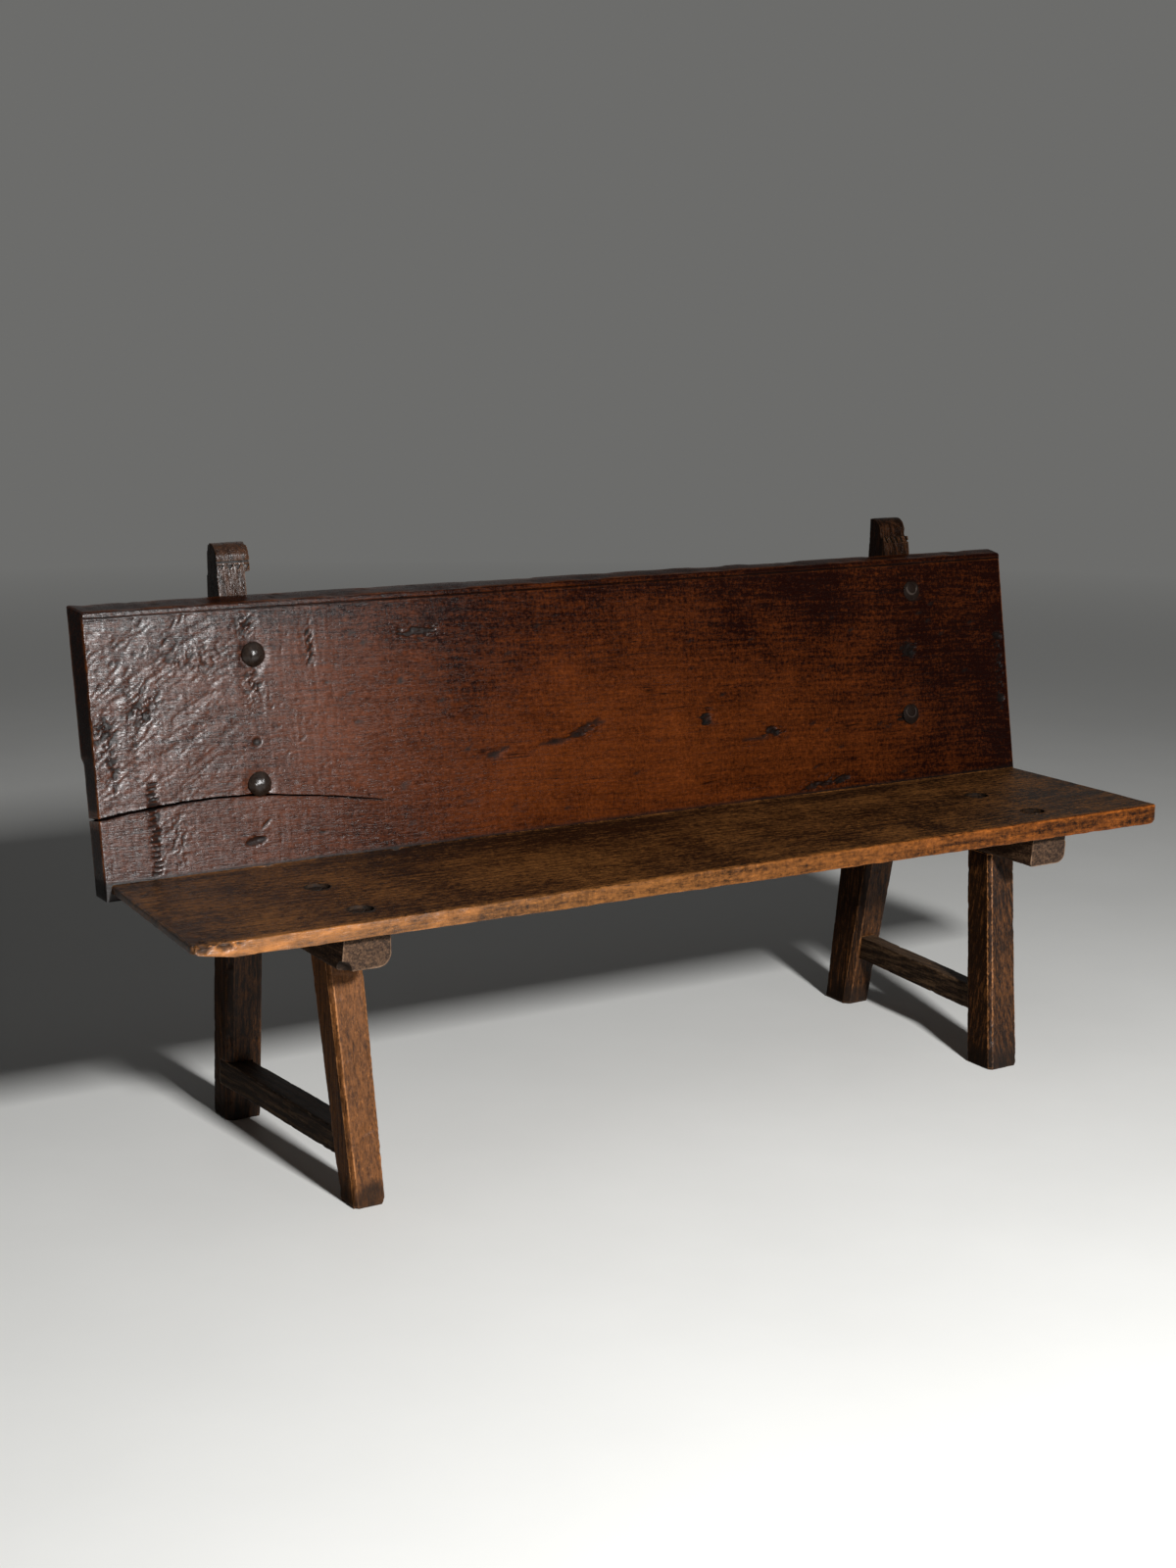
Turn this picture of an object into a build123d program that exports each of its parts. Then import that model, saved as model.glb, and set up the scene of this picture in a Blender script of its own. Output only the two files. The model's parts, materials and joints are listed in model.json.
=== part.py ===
from build123d import *
import math
import os

# A rustic plank bench: one seat plank, one wide raked back board, and two trestles of
# batten, legs and stretcher, with a carved post behind the board on each of them.
# Millimetres. +X runs along the seat, +Y to the back, +Z up. The origin is on the floor,
# in the middle of the footprint.

# Seat plank, hewn thinner towards its left end
seat_length = 1772
seat_depth = 364
seat_height = 450
seat_thickness_left = 24
seat_thickness_right = 36
seat_edge_round = 5
seat_left_skew = 22
seat_left_corner_round = 26
seat_right_corner_round = 10
left_end_bevel_run = 62
left_end_bevel_rise = 10

# Back board, standing on the battens behind the seat; its rake and its top's tilt are in degrees
board_left_setback = 14
board_rise = 398
board_thickness_left = 46
board_thickness_right = 30
board_rake = 9.7
board_top_tilt = 8
board_edge_round = 4
bead_width = 10
bead_groove = 2.5

# Old split that runs in from the board's left end, heights above the seat
crack_length = 474
crack_opening = 5
crack_start_height = 96
crack_crest_height = 110
crack_crest_run = 198
crack_tip_height = 76

# Trestles, measured in from the seat's ends
left_trestle_inset = 275
right_trestle_inset = 218

# Battens across the trestles, under the seat
batten_width = 70
batten_height = 53
batten_flare = 8
batten_front_setback = 30
batten_back_end = 29
batten_round = 20
batten_arris = 5

# Legs, let into the battens; splays part the feet in Y, shifts move feet and tops along X,
# and what each foot and top has over or under the common width and depth is its growth;
# the right back leg is deeper still
leg_width = 54
leg_depth = 56
leg_arris = 4
front_leg_chamfer = 6
back_leg_chamfer = 10
foot_bevel = 3
front_leg_setback = 162
front_leg_splay = 71
left_back_leg_splay = 40
right_back_leg_splay = 32
left_front_foot_shift = 15
left_back_foot_shift = 3
right_front_foot_shift = -54
right_back_foot_shift = -38
left_front_top_shift = 10
left_back_top_shift = -2
right_front_top_shift = -14
right_back_top_shift = -11
left_front_foot_growth = -4
left_back_foot_growth = 3
right_front_foot_growth = 6
right_back_foot_growth = -1
left_front_top_growth = 3
left_back_top_growth = 5
right_front_top_growth = 2
right_back_top_growth = 10
right_back_foot_extra_depth = 8
right_back_top_extra_depth = 20

# Through tenons of legs and posts, each spread by a wedge
tenon_width = 30
tenon_depth = 24
wedge_length = 34
wedge_butt = 5
wedge_tip = 1

# Stretchers, housed to the middle of each leg
left_stretcher_thickness = 42
left_stretcher_height = 42
right_stretcher_thickness = 32
right_stretcher_height = 44
stretcher_arris = 3
left_stretcher_front_rise = 83
left_stretcher_back_rise = 79
right_stretcher_front_rise = 104
right_stretcher_back_rise = 112
left_stretcher_front_shift = 1
left_stretcher_lap_proud = 1.5
right_stretcher_front_shift = -4
right_stretcher_back_shift = 4

# Posts behind the board, thinning above its top; necks rise above that, heads above their necks
post_depth = 51
post_top_depth = 36
left_post_shift = -2
right_post_shift = 4
left_post_width = 46
right_post_width = 57
left_neck_rise = 48
left_head_rise = 47
left_head_width = 54
left_head_shift = 5
left_groove_rise = 14
left_groove_width = 3
left_lip_rise = 26
right_neck_rise = 42
right_head_rise = 36
right_head_setback = 8
right_lip_rise = 16
head_crown = 30

# Chip carving on the post heads
notch_depth = 3
left_notch_count = 4
left_notch_width = 11
left_notch_height = 8
right_notch_count = 5
right_notch_height = 11
right_notch_width = 4
right_notch_slant = 5

# Round pegs that hold the seat to the battens
peg_diameter = 36
peg_sink = 1.5
peg_bite = 38
peg_wall = 6
peg_end_wall = 18
left_peg_shift = 6
right_peg_shift = -9

# Nails through the board into the posts; the left heads are domes, the right ones beaten flat
nail_head_diameter = 36
left_nail_head_height = 11
right_nail_head_height = 4
nail_shank = 9
nail_bite = 38
nail_point = 12
left_upper_nail_drop = 78
left_upper_nail_shift = 3
left_lower_nail_rise = 124
left_lower_nail_shift = -5
right_upper_nail_drop = 59
right_upper_nail_shift = 4
right_lower_nail_rise = 119
right_lower_nail_shift = -17

# Clearances
joint_gap = 0.2
peg_gap = 0.15

# Worked out from the sizes above
rake = math.radians(board_rake)
board_length = seat_length - board_left_setback
board_mid_x = board_left_setback / 2
trestle_x = {
    "left": -seat_length / 2 + left_trestle_inset,
    "right": seat_length / 2 - right_trestle_inset,
}
post_width = {"left": left_post_width, "right": right_post_width}
post_x = {
    "left": trestle_x["left"] + left_post_shift,
    "right": trestle_x["right"] + right_post_shift,
}
foot_shift = {
    ("left", "front"): left_front_foot_shift,
    ("left", "back"): left_back_foot_shift,
    ("right", "front"): right_front_foot_shift,
    ("right", "back"): right_back_foot_shift,
}
top_shift = {
    ("left", "front"): left_front_top_shift,
    ("left", "back"): left_back_top_shift,
    ("right", "front"): right_front_top_shift,
    ("right", "back"): right_back_top_shift,
}
foot_growth = {
    ("left", "front"): left_front_foot_growth,
    ("left", "back"): left_back_foot_growth,
    ("right", "front"): right_front_foot_growth,
    ("right", "back"): right_back_foot_growth,
}
top_growth = {
    ("left", "front"): left_front_top_growth,
    ("left", "back"): left_back_top_growth,
    ("right", "front"): right_front_top_growth,
    ("right", "back"): right_back_top_growth,
}
extra_depth = {("right", "back"): (right_back_foot_extra_depth, right_back_top_extra_depth)}
back_leg_splay = {"left": left_back_leg_splay, "right": right_back_leg_splay}
leg_chamfer = {"front": front_leg_chamfer, "back": back_leg_chamfer}
stretcher_size = {
    "left": (left_stretcher_thickness, left_stretcher_height),
    "right": (right_stretcher_thickness, right_stretcher_height),
}
stretcher_rise = {
    ("left", "front"): left_stretcher_front_rise,
    ("left", "back"): left_stretcher_back_rise,
    ("right", "front"): right_stretcher_front_rise,
    ("right", "back"): right_stretcher_back_rise,
}
peg_shift = {"left": left_peg_shift, "right": right_peg_shift}
nail_place = {
    ("left", "upper"): (left_upper_nail_shift, board_rise - left_upper_nail_drop),
    ("left", "lower"): (left_lower_nail_shift, left_lower_nail_rise),
    ("right", "upper"): (right_upper_nail_shift, board_rise - right_upper_nail_drop),
    ("right", "lower"): (right_lower_nail_shift, right_lower_nail_rise),
}
nail_head_height = {"left": left_nail_head_height, "right": right_nail_head_height}
neck_height = {"left": board_rise + left_neck_rise, "right": board_rise + right_neck_rise}
head_top = {
    "left": neck_height["left"] + left_head_rise,
    "right": neck_height["right"] + right_head_rise,
}
reach = 3 * seat_length
sides = ("left", "right")
ends = ("front", "back")
levels = ("upper", "lower")

# Planes that several pieces meet on: the underside of the seat and board, and the board's two faces
underside = Plane(
    origin=(0, 0, seat_height - (seat_thickness_left + seat_thickness_right) / 2),
    x_dir=(seat_length, 0, seat_thickness_left - seat_thickness_right),
    z_dir=(seat_thickness_right - seat_thickness_left, 0, seat_length),
)
board_face = Plane(
    origin=(board_mid_x, 0, seat_height),
    x_dir=(1, 0, 0),
    z_dir=(0, -math.cos(rake), math.sin(rake)),
)
board_thinning = board_thickness_left - board_thickness_right
board_back = Plane(
    origin=board_face.origin - board_face.z_dir * (board_thickness_left + board_thickness_right) / 2,
    x_dir=board_face.x_dir * board_length + board_face.z_dir * board_thinning,
    z_dir=board_face.z_dir * board_length - board_face.x_dir * board_thinning,
)


def beyond(plane):
    """Everything on the normal side of a plane, as one large block."""
    return plane * Box(reach, reach, reach, align=(Align.CENTER, Align.CENTER, Align.MIN))


def underside_z(x):
    """Height of the underside of the seat at a place along it."""
    along = x / seat_length + 0.5
    return seat_height - seat_thickness_left - along * (seat_thickness_right - seat_thickness_left)


def batten_bottom(side):
    """Height of a batten's flat lower face."""
    return underside_z(trestle_x[side]) - batten_height


def board_thickness_at(x):
    """The board's thickness at a place along the bench."""
    along = (x - board_mid_x) / board_length + 0.5
    return board_thickness_left - along * board_thinning


def post_middle(side, z):
    """Middle of a post at a height; the posts lean with the board."""
    x = post_x[side]
    behind_face = board_thickness_at(x) + post_depth / 2
    return Vector(x, behind_face / math.cos(rake) + (z - seat_height) * math.tan(rake), z)


def leg_sizes(side, end):
    """Width and depth of a leg at its foot and at its top."""
    foot_extra, top_extra = extra_depth.get((side, end), (0, 0))
    foot = (leg_width + foot_growth[side, end], leg_depth + foot_growth[side, end] + foot_extra)
    top = (leg_width + top_growth[side, end], leg_depth + top_growth[side, end] + top_extra)
    return foot, top


def leg_line(side, end):
    """Middle of a leg's foot and of its shoulder under the batten."""
    top_z = batten_bottom(side)
    if end == "front":
        top_y = -seat_depth + front_leg_setback
        foot_y = top_y - front_leg_splay
    else:
        top_depth = leg_sizes(side, end)[1][1]
        post = post_middle(side, underside_z(trestle_x[side]))
        top_y = post.Y + (post_depth / math.cos(rake) + top_depth) / 2
        foot_y = top_y + back_leg_splay[side]
    foot = Vector(trestle_x[side] + foot_shift[side, end], foot_y, 0)
    return foot, Vector(trestle_x[side] + top_shift[side, end], top_y, top_z)


def at_height(line, z):
    """The point of a line at a height."""
    low, high = line
    return low + (high - low) * ((z - low.Z) / (high.Z - low.Z))


def taper_bar(low, high, low_size, high_size):
    """A straight bar with level ends, from one middle point to another."""
    low_face = Pos(low.X, low.Y, low.Z) * Rectangle(*low_size)
    high_face = Pos(high.X, high.Y, high.Z) * Rectangle(*high_size)
    return loft([low_face, high_face], ruled=True)


def batten_span(side):
    """Front and back end of a batten."""
    back_leg_y = leg_line(side, "back")[1].Y
    top_depth = leg_sizes(side, "back")[1][1]
    return -seat_depth + batten_front_setback, back_leg_y + top_depth / 2 + batten_back_end


def leg_tenon(side, end, gap=0):
    """The leg's tenon, running up through the batten; with a gap, its mortise."""
    line = leg_line(side, end)
    size = (tenon_width + 2 * gap, tenon_depth + 2 * gap)
    low = at_height(line, batten_bottom(side))
    high = at_height(line, seat_height)
    return taper_bar(low, high, size, size) - beyond(underside)


def post_tenon(side, gap=0):
    """The post's tenon, running down through the batten; with a gap, its mortise."""
    size = (tenon_width + 2 * gap, tenon_depth + 2 * gap)
    low = post_middle(side, batten_bottom(side))
    high = post_middle(side, seat_height)
    return taper_bar(low, high, size, size) - beyond(underside)


def leg_wedge(side, end):
    """Wedge driven down into a leg's tenon, level with the batten's top."""
    line = leg_line(side, end)
    top_z = underside_z(trestle_x[side])
    low = at_height(line, top_z - wedge_length)
    high = at_height(line, seat_height)
    grow = (wedge_butt - wedge_tip) / wedge_length * (seat_height - top_z)
    bar = taper_bar(low, high, (tenon_width, wedge_tip), (tenon_width, wedge_butt + grow))
    return bar - beyond(underside)


def post_wedge(side):
    """Wedge driven up into a post's tenon, level with the batten's lower face."""
    low = post_middle(side, batten_bottom(side))
    high = post_middle(side, low.Z + wedge_length)
    return taper_bar(low, high, (tenon_width, wedge_butt), (tenon_width, wedge_tip))


def peg_spot(side, end):
    """Place of a seat peg: one near the batten's front end, one behind the front leg's tenon."""
    x = trestle_x[side] + peg_shift[side]
    radius = peg_diameter / 2
    if end == "front":
        return x, batten_span(side)[0] + peg_end_wall + radius
    tenon_y = at_height(leg_line(side, "front"), underside_z(x)).Y
    return x, tenon_y + tenon_depth / 2 + peg_wall + radius


def peg_rod(side, end, gap, top_z):
    """Upright rod at a peg's place, from its blind end in the batten to a height."""
    x, y = peg_spot(side, end)
    low_z = underside_z(x) - peg_bite - gap
    rod = Cylinder(
        peg_diameter / 2 + gap, top_z - low_z, align=(Align.CENTER, Align.CENTER, Align.MIN)
    )
    return Pos(x, y, low_z) * rod


def seat_peg(side, end):
    """Round peg through the seat into the batten, sunk a little below the seat's top."""
    return peg_rod(side, end, 0, seat_height - peg_sink)


def peg_hole(side, end):
    """Hole for a peg, open at the seat's top."""
    return peg_rod(side, end, peg_gap, seat_height + peg_sink)


def nail_location(side, level):
    """A nail's place on the board's face, with its axis square to the board."""
    shift, height = nail_place[side, level]
    return board_face.location * Pos(trestle_x[side] + shift - board_mid_x, height, 0)


def nail_length(side, level):
    """Length of a nail below its head: through the board and into the post."""
    return board_thickness_at(trestle_x[side] + nail_place[side, level][0]) + nail_bite


def board_nail(side, level):
    """Forged nail with a domed head on the board's face and its point in the post."""
    head_radius = nail_head_diameter / 2
    head_height = nail_head_height[side]
    dome_radius = (head_radius**2 + head_height**2) / (2 * head_height)
    half_turn = math.asin(head_radius / dome_radius) / 2
    dome_drop = head_height - dome_radius * (1 - math.cos(half_turn))
    shank_radius = nail_shank / 2
    length = nail_length(side, level)
    dome = ThreePointArc(
        (0, head_height), (dome_radius * math.sin(half_turn), dome_drop), (head_radius, 0)
    )
    rest = Polyline(
        (head_radius, 0),
        (shank_radius, 0),
        (shank_radius, nail_point - length),
        (0, -length),
        (0, head_height),
    )
    profile = Plane.XZ * make_face([dome, rest])
    return nail_location(side, level) * revolve(profile, Axis.Z)


def nail_hole(side, level):
    """Hole for a nail's shank, through the board and into the post."""
    length = nail_length(side, level) + joint_gap
    return nail_location(side, level) * Cylinder(nail_shank / 2 + peg_gap, 2 * length)


def make_seat():
    """The seat plank: level on top, sloping underneath, bevelled below its left end."""
    half = seat_length / 2
    outline = Polyline(
        (-half, -seat_depth), (half, -seat_depth), (half, 0), (-half + seat_left_skew, 0), close=True
    )
    blank_depth = 2 * max(seat_thickness_left, seat_thickness_right)
    seat = Pos(0, 0, seat_height - blank_depth) * extrude(make_face(outline), blank_depth)
    front_corners = seat.edges().filter_by(Axis.Z).group_by(Axis.Y)[0].sort_by(Axis.X)
    seat = fillet(front_corners[0], seat_left_corner_round)
    front_corners = seat.edges().filter_by(Axis.Z).sort_by(Axis.X)
    right_corner = front_corners.group_by(Axis.X)[-1].sort_by(Axis.Y)[0]
    seat = fillet(right_corner, seat_right_corner_round)
    bevel_x = -half + left_end_bevel_run
    bevel = Plane(
        origin=(bevel_x, 0, underside_z(bevel_x)),
        x_dir=(0, 1, 0),
        z_dir=(-left_end_bevel_rise, 0, -left_end_bevel_run),
    )
    seat = seat - beyond(-underside) - beyond(-board_face) - beyond(bevel)
    top_front = seat.edges().filter_by(Axis.X).group_by(Axis.Y)[0].sort_by(Axis.Z)[-1]
    seat = fillet(top_front, seat_edge_round)
    for side in sides:
        for end in ends:
            seat = seat - peg_hole(side, end)
    return seat


def crack():
    """The split in the board: two arcs that close at its tip, cut right through."""
    left = -board_length / 2
    start = left - crack_opening
    crest_x = left + crack_crest_run
    tip = (left + crack_length, crack_tip_height)
    crest_opening = crack_opening * (1 - crack_crest_run / crack_length)

    def edge(sign):
        half_start = sign * crack_opening / 2
        half_crest = sign * crest_opening / 2
        return ThreePointArc(
            (start, crack_start_height + half_start), (crest_x, crack_crest_height + half_crest), tip
        )

    upper = edge(1)
    lower = edge(-1)
    mouth = Line(lower @ 0, upper @ 0)
    through = 2 * max(board_thickness_left, board_thickness_right)
    return extrude(board_face * make_face([upper, lower, mouth]), through, both=True)


def make_board():
    """The back board, thinner to the right, with a scratched bead along its upper front edge."""
    blank_rise = 4 * board_rise
    blank_depth = 2 * max(board_thickness_left, board_thickness_right)
    blank = Box(board_length, blank_rise, blank_depth, align=(Align.CENTER, Align.CENTER, Align.MAX))
    tilt = math.radians(board_top_tilt)
    top = Plane(
        origin=board_face.from_local_coords((0, board_rise, 0)),
        x_dir=(1, 0, 0),
        z_dir=(0, -math.sin(tilt), math.cos(tilt)),
    )
    board = board_face * blank - beyond(-board_back) - beyond(top) - beyond(-underside)
    top_front = board.edges().filter_by(Axis.X).sort_by(Axis.Z)[-1]
    board = fillet(top_front, board_edge_round)
    groove = Rot(45, 0, 0) * Box(board_length, bead_groove, bead_groove)
    board = board - board_face * Pos(0, board_rise - bead_width, 0) * groove
    board = board - crack()
    for side in sides:
        for level in levels:
            board = board - nail_hole(side, level)
    return board


def post_front(side):
    """Plane of a post's front face, on the board's back: along the bench, then up the slope."""
    x = post_x[side]
    behind_face = board_face.from_local_coords((x - board_mid_x, 0, -board_thickness_at(x)))
    return Plane(origin=behind_face, x_dir=board_back.x_dir, z_dir=board_back.z_dir)


def post_side(side):
    """Plane through a post's middle: depth behind the board, then height up the slope."""
    front = post_front(side)
    return Plane(origin=front.origin, x_dir=-front.z_dir, z_dir=front.x_dir)


def post_depth_at(side, height):
    """Depth of a post at a height above the board's top."""
    along = (height - board_rise) / (head_top[side] - board_rise)
    return post_depth - along * (post_depth - post_top_depth)


def head_block(side, lip, front, width, shift=0, groove=()):
    """A post's head: a front face up to a lip, then a round that climbs to the back."""
    low = neck_height[side]
    top = head_top[side]
    crown = min(front + head_crown, post_top_depth)
    diagonal = math.cos(math.pi / 4)
    belly = (crown - (crown - front) * diagonal, lip + (top - lip) * diagonal)
    low_back = (post_depth_at(side, low), low)
    front_line = Polyline((post_top_depth, top), low_back, (front, low), *groove, (front, lip))
    lines = [front_line, ThreePointArc((front, lip), belly, (crown, top))]
    if crown < post_top_depth:
        lines.append(Line((crown, top), (post_top_depth, top)))
    return extrude(post_side(side).offset(shift) * make_face(lines), width / 2, both=True)


def left_head():
    """Flared head with a groove across its face and a row of chip-cut triangles below it."""
    neck = neck_height["left"]
    groove_low = neck + left_groove_rise
    groove_top = groove_low + left_groove_width
    groove = (
        (0, groove_low),
        (left_groove_width, groove_low),
        (left_groove_width, groove_top),
        (0, groove_top),
    )
    lip = neck + left_lip_rise
    head = head_block("left", lip, 0, left_head_width, left_head_shift, groove)
    pitch = left_head_width / left_notch_count
    notch_top = groove_low - left_groove_width
    half = left_notch_width / 2
    triangle = Polyline(
        (-half, notch_top), (half, notch_top), (0, notch_top - left_notch_height), close=True
    )
    return head - notch_row("left", Pos(left_head_shift, 0, 0) * triangle, left_notch_count, pitch)


def right_ledge_cuts():
    """Slanting chip cuts in the front edge of the right post's ledge."""
    top = neck_height["right"]
    low = top - right_notch_height
    slanted = Polyline(
        (0, top),
        (right_notch_width, top),
        (right_notch_width + right_notch_slant, low),
        (right_notch_slant, low),
        close=True,
    )
    centred = Pos(-(right_notch_width + right_notch_slant) / 2, 0, 0) * slanted
    return notch_row("right", centred, right_notch_count, right_post_width / right_notch_count)


def right_head():
    """Plain head, set back so that the neck's top shows as a ledge in front of it."""
    lip = neck_height["right"] + right_lip_rise
    return head_block("right", lip, right_head_setback, right_post_width)


def notch_row(side, outline, count, pitch):
    """A row of equal chip cuts across the front of a post."""
    cuts = []
    for number in range(count):
        x = (number - (count - 1) / 2) * pitch
        cuts.append(extrude(post_front(side) * Pos(x, 0, 0) * make_face(outline), -notch_depth))
    return cuts


def make_post(side):
    """A post: tenon in the batten, shaft against the board's back, carved head above it."""
    blank_drop = 2 * max(seat_thickness_left, seat_thickness_right)
    neck = neck_height[side]
    outline = Polyline(
        (0, -blank_drop),
        (post_depth, -blank_drop),
        (post_depth, board_rise),
        (post_depth_at(side, neck), neck),
        (0, neck),
        close=True,
    )
    shaft = post_side(side) * make_face(outline)
    post = extrude(shaft, post_width[side] / 2, both=True) - beyond(-underside)
    if side == "left":
        post = post + left_head()
    else:
        post = post + right_head() - right_ledge_cuts()
    post = post + post_tenon(side) - post_wedge(side)
    for level in levels:
        post = post - nail_hole(side, level)
    return post


def make_batten(side):
    """A batten: flat on top against the seat, rounded on its lower right edge."""
    x = trestle_x[side]
    front, back = batten_span(side)
    bottom = batten_bottom(side)
    half = batten_width / 2
    section = Polyline(
        (x - half, seat_height),
        (x - half - batten_flare, bottom),
        (x + half, bottom),
        (x + half, seat_height),
        close=True,
    )
    front_end = Plane(origin=(0, front, 0), x_dir=(1, 0, 0), z_dir=(0, -1, 0))
    batten = extrude(front_end * make_face(section), front - back)
    lower = batten.edges().filter_by(Axis.Y).group_by(Axis.Z)[0].sort_by(Axis.X)
    batten = fillet(lower[-1], batten_round)
    lower = batten.edges().filter_by(Axis.Y).sort_by(Axis.X)
    batten = fillet(lower[0], batten_arris)
    batten = batten - beyond(underside) - post_tenon(side, joint_gap)
    for end in ends:
        batten = batten - leg_tenon(side, end, joint_gap) - peg_hole(side, end)
    return batten


def left_lap_shift():
    """Shift that laps the left stretcher into the outer face of its back leg."""
    foot_size, top_size = leg_sizes("left", "back")
    along = left_stretcher_back_rise / batten_bottom("left")
    width = foot_size[0] + (top_size[0] - foot_size[0]) * along
    return (left_stretcher_thickness - width) / 2 - left_stretcher_lap_proud


def stretcher_end(side, end):
    """Middle of a stretcher's end, inside its leg."""
    shifts = {
        ("left", "front"): left_stretcher_front_shift,
        ("left", "back"): left_lap_shift(),
        ("right", "front"): right_stretcher_front_shift,
        ("right", "back"): right_stretcher_back_shift,
    }
    spot = at_height(leg_line(side, end), stretcher_rise[side, end])
    return spot + Vector(shifts[side, end], 0, 0)


def stretcher_bar(side, gap=0):
    """A stretcher from leg to leg; with a gap, its housings."""
    thickness, height = stretcher_size[side]
    size = (thickness + 2 * gap, height + 2 * gap)
    faces = []
    for end, outward in (("front", -gap), ("back", gap)):
        spot = stretcher_end(side, end) + Vector(0, outward, 0)
        faces.append(Plane(origin=spot, x_dir=(1, 0, 0), z_dir=(0, 1, 0)) * Rectangle(*size))
    return loft(faces, ruled=True)


def make_stretcher(side):
    """A stretcher with eased arrises."""
    bar = stretcher_bar(side)
    long_edges = bar.edges().filter_by(lambda edge: abs(edge.tangent_at(0.5).Y) > 0.5)
    return fillet(long_edges, stretcher_arris)


def leg_arrises(leg):
    """The edges that run up a leg, from its front left to its back right."""
    upright = leg.edges().filter_by(lambda edge: abs(edge.tangent_at(0.5).Z) > 0.5)
    return upright.sort_by(lambda edge: edge.center().X + edge.center().Y)


def make_leg(side, end):
    """A splayed leg, chamfered at its front left, with a bevelled foot, a tenon and a housing."""
    foot, top = leg_line(side, end)
    leg = taper_bar(foot, top, *leg_sizes(side, end))
    leg = chamfer(leg_arrises(leg)[0], leg_chamfer[end])
    leg = fillet(leg_arrises(leg)[2:], leg_arris)
    leg = chamfer(leg.edges().group_by(Axis.Z)[0], foot_bevel)
    leg = leg + leg_tenon(side, end) - leg_wedge(side, end)
    return leg - stretcher_bar(side, joint_gap)


parts = {"seat_plank": make_seat(), "back_board": make_board()}
for side in sides:
    parts[side + "_back_post"] = make_post(side)
    parts[side + "_batten"] = make_batten(side)
    parts[side + "_stretcher"] = make_stretcher(side)
    parts[side + "_post_wedge"] = post_wedge(side)
    for end in ends:
        parts[f"{side}_{end}_leg"] = make_leg(side, end)
        parts[f"{side}_{end}_leg_wedge"] = leg_wedge(side, end)
        parts[f"{side}_{end}_seat_peg"] = seat_peg(side, end)
    for level in levels:
        parts[f"{side}_{level}_nail"] = board_nail(side, level)

# The middle of the whole bench, seen from above, goes to the origin
middle = Compound(list(parts.values())).bounding_box().center()
to_origin = Pos(-middle.X, -middle.Y, 0)
os.makedirs("parts", exist_ok=True)
for name, shape in parts.items():
    export_step(to_origin * shape, f"parts/{name}.step")
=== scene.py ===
import json
import math

import bmesh
import bpy
import numpy as np
from mathutils import Matrix, Vector


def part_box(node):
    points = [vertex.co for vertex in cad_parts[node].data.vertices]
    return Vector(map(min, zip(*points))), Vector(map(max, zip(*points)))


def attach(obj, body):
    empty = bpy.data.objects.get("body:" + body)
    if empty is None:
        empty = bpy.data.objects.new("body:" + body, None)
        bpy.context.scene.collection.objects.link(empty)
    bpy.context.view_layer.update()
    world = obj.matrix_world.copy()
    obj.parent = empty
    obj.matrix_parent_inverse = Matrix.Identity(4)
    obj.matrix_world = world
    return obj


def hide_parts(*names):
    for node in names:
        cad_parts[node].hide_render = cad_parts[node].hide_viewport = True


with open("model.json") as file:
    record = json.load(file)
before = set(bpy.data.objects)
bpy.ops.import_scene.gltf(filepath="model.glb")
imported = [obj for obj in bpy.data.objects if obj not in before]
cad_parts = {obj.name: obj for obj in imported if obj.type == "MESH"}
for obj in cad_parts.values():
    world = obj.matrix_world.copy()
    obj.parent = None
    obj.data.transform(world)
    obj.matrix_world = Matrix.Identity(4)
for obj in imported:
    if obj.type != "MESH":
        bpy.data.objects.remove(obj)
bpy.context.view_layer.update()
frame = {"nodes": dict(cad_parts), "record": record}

# An old plank bench of dark waxed wood: the planks are rebuilt as fine lattices with their
# split, bead, tool marks and worn edges, and the bars are worn down from the frame's own shapes.
# Metres, in the frame's axes: +X along the seat, +Y to the back, +Z up.

# Sizes of the planks that the frame's boxes don't give; rake and tilt in radians
seat_depth = 0.364
seat_left_skew = 0.022
seat_thickness_left = 0.024
seat_thickness_right = 0.036
seat_left_corner = 0.016
seat_right_corner = 0.010
seat_right_underside_round = 0.018
left_bevel_run = 0.062
left_bevel_rise = 0.010
peg_hole_clearance = 0.0006
peg_hole_sides = 44
board_rise = 0.398
board_thickness_left = 0.046
board_thickness_right = 0.030
board_rake = math.radians(9.7)
board_top_tilt = math.radians(8)
bead_width = 0.010
bead_groove_depth = 0.0022
bead_groove_half_width = 0.0019
groove_height = board_rise - bead_width

# The split in the board: heights above the seat, runs from the board's left end, and how deep it
# goes from each face as a share of the thickness
crack_length = 0.474
crack_opening = 0.0038
crack_least_opening = 0.0009
crack_start_height = 0.096
crack_crest_height = 0.110
crack_crest_run = 0.198
crack_tip_height = 0.076
crack_share = 0.46
crack_end_notch = 0.030

# The board's lattice: its adzed part, which is finer, the rows beside the split, the rows at the
# bead by their drop under its groove, and the layers from back to front as shares of the thickness
adzed_run = 0.40
rows_below_split = 26
rows_above_split = 61
bead_rows = np.array([4.0, 2.3, 1.3, 0, -1.3, -2.3, -4.2, -6.0, -7.4, -8.6, -9.4, -10]) * 0.001
board_layers = np.array([1, 0.95, 0.82, 0.5, 0.18, 0.05, 0])

# The seat's lattice: its layers from bottom to top
seat_layers = np.array([0, 0.08, 0.2, 0.35, 0.5, 0.65, 0.8, 0.92, 1])

# Camera, solved from the photograph's edges; angles in radians, focal length in pixels
photo_height = 1600
camera_yaw = 0.5552
camera_pitch = 0.2091
camera_roll = 0.0074
camera_focal = 2304.1
camera_left_of_right_end = 2.8404
camera_ahead_of_front = 2.7138
camera_height = 1.2836
sensor_size = 36

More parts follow.
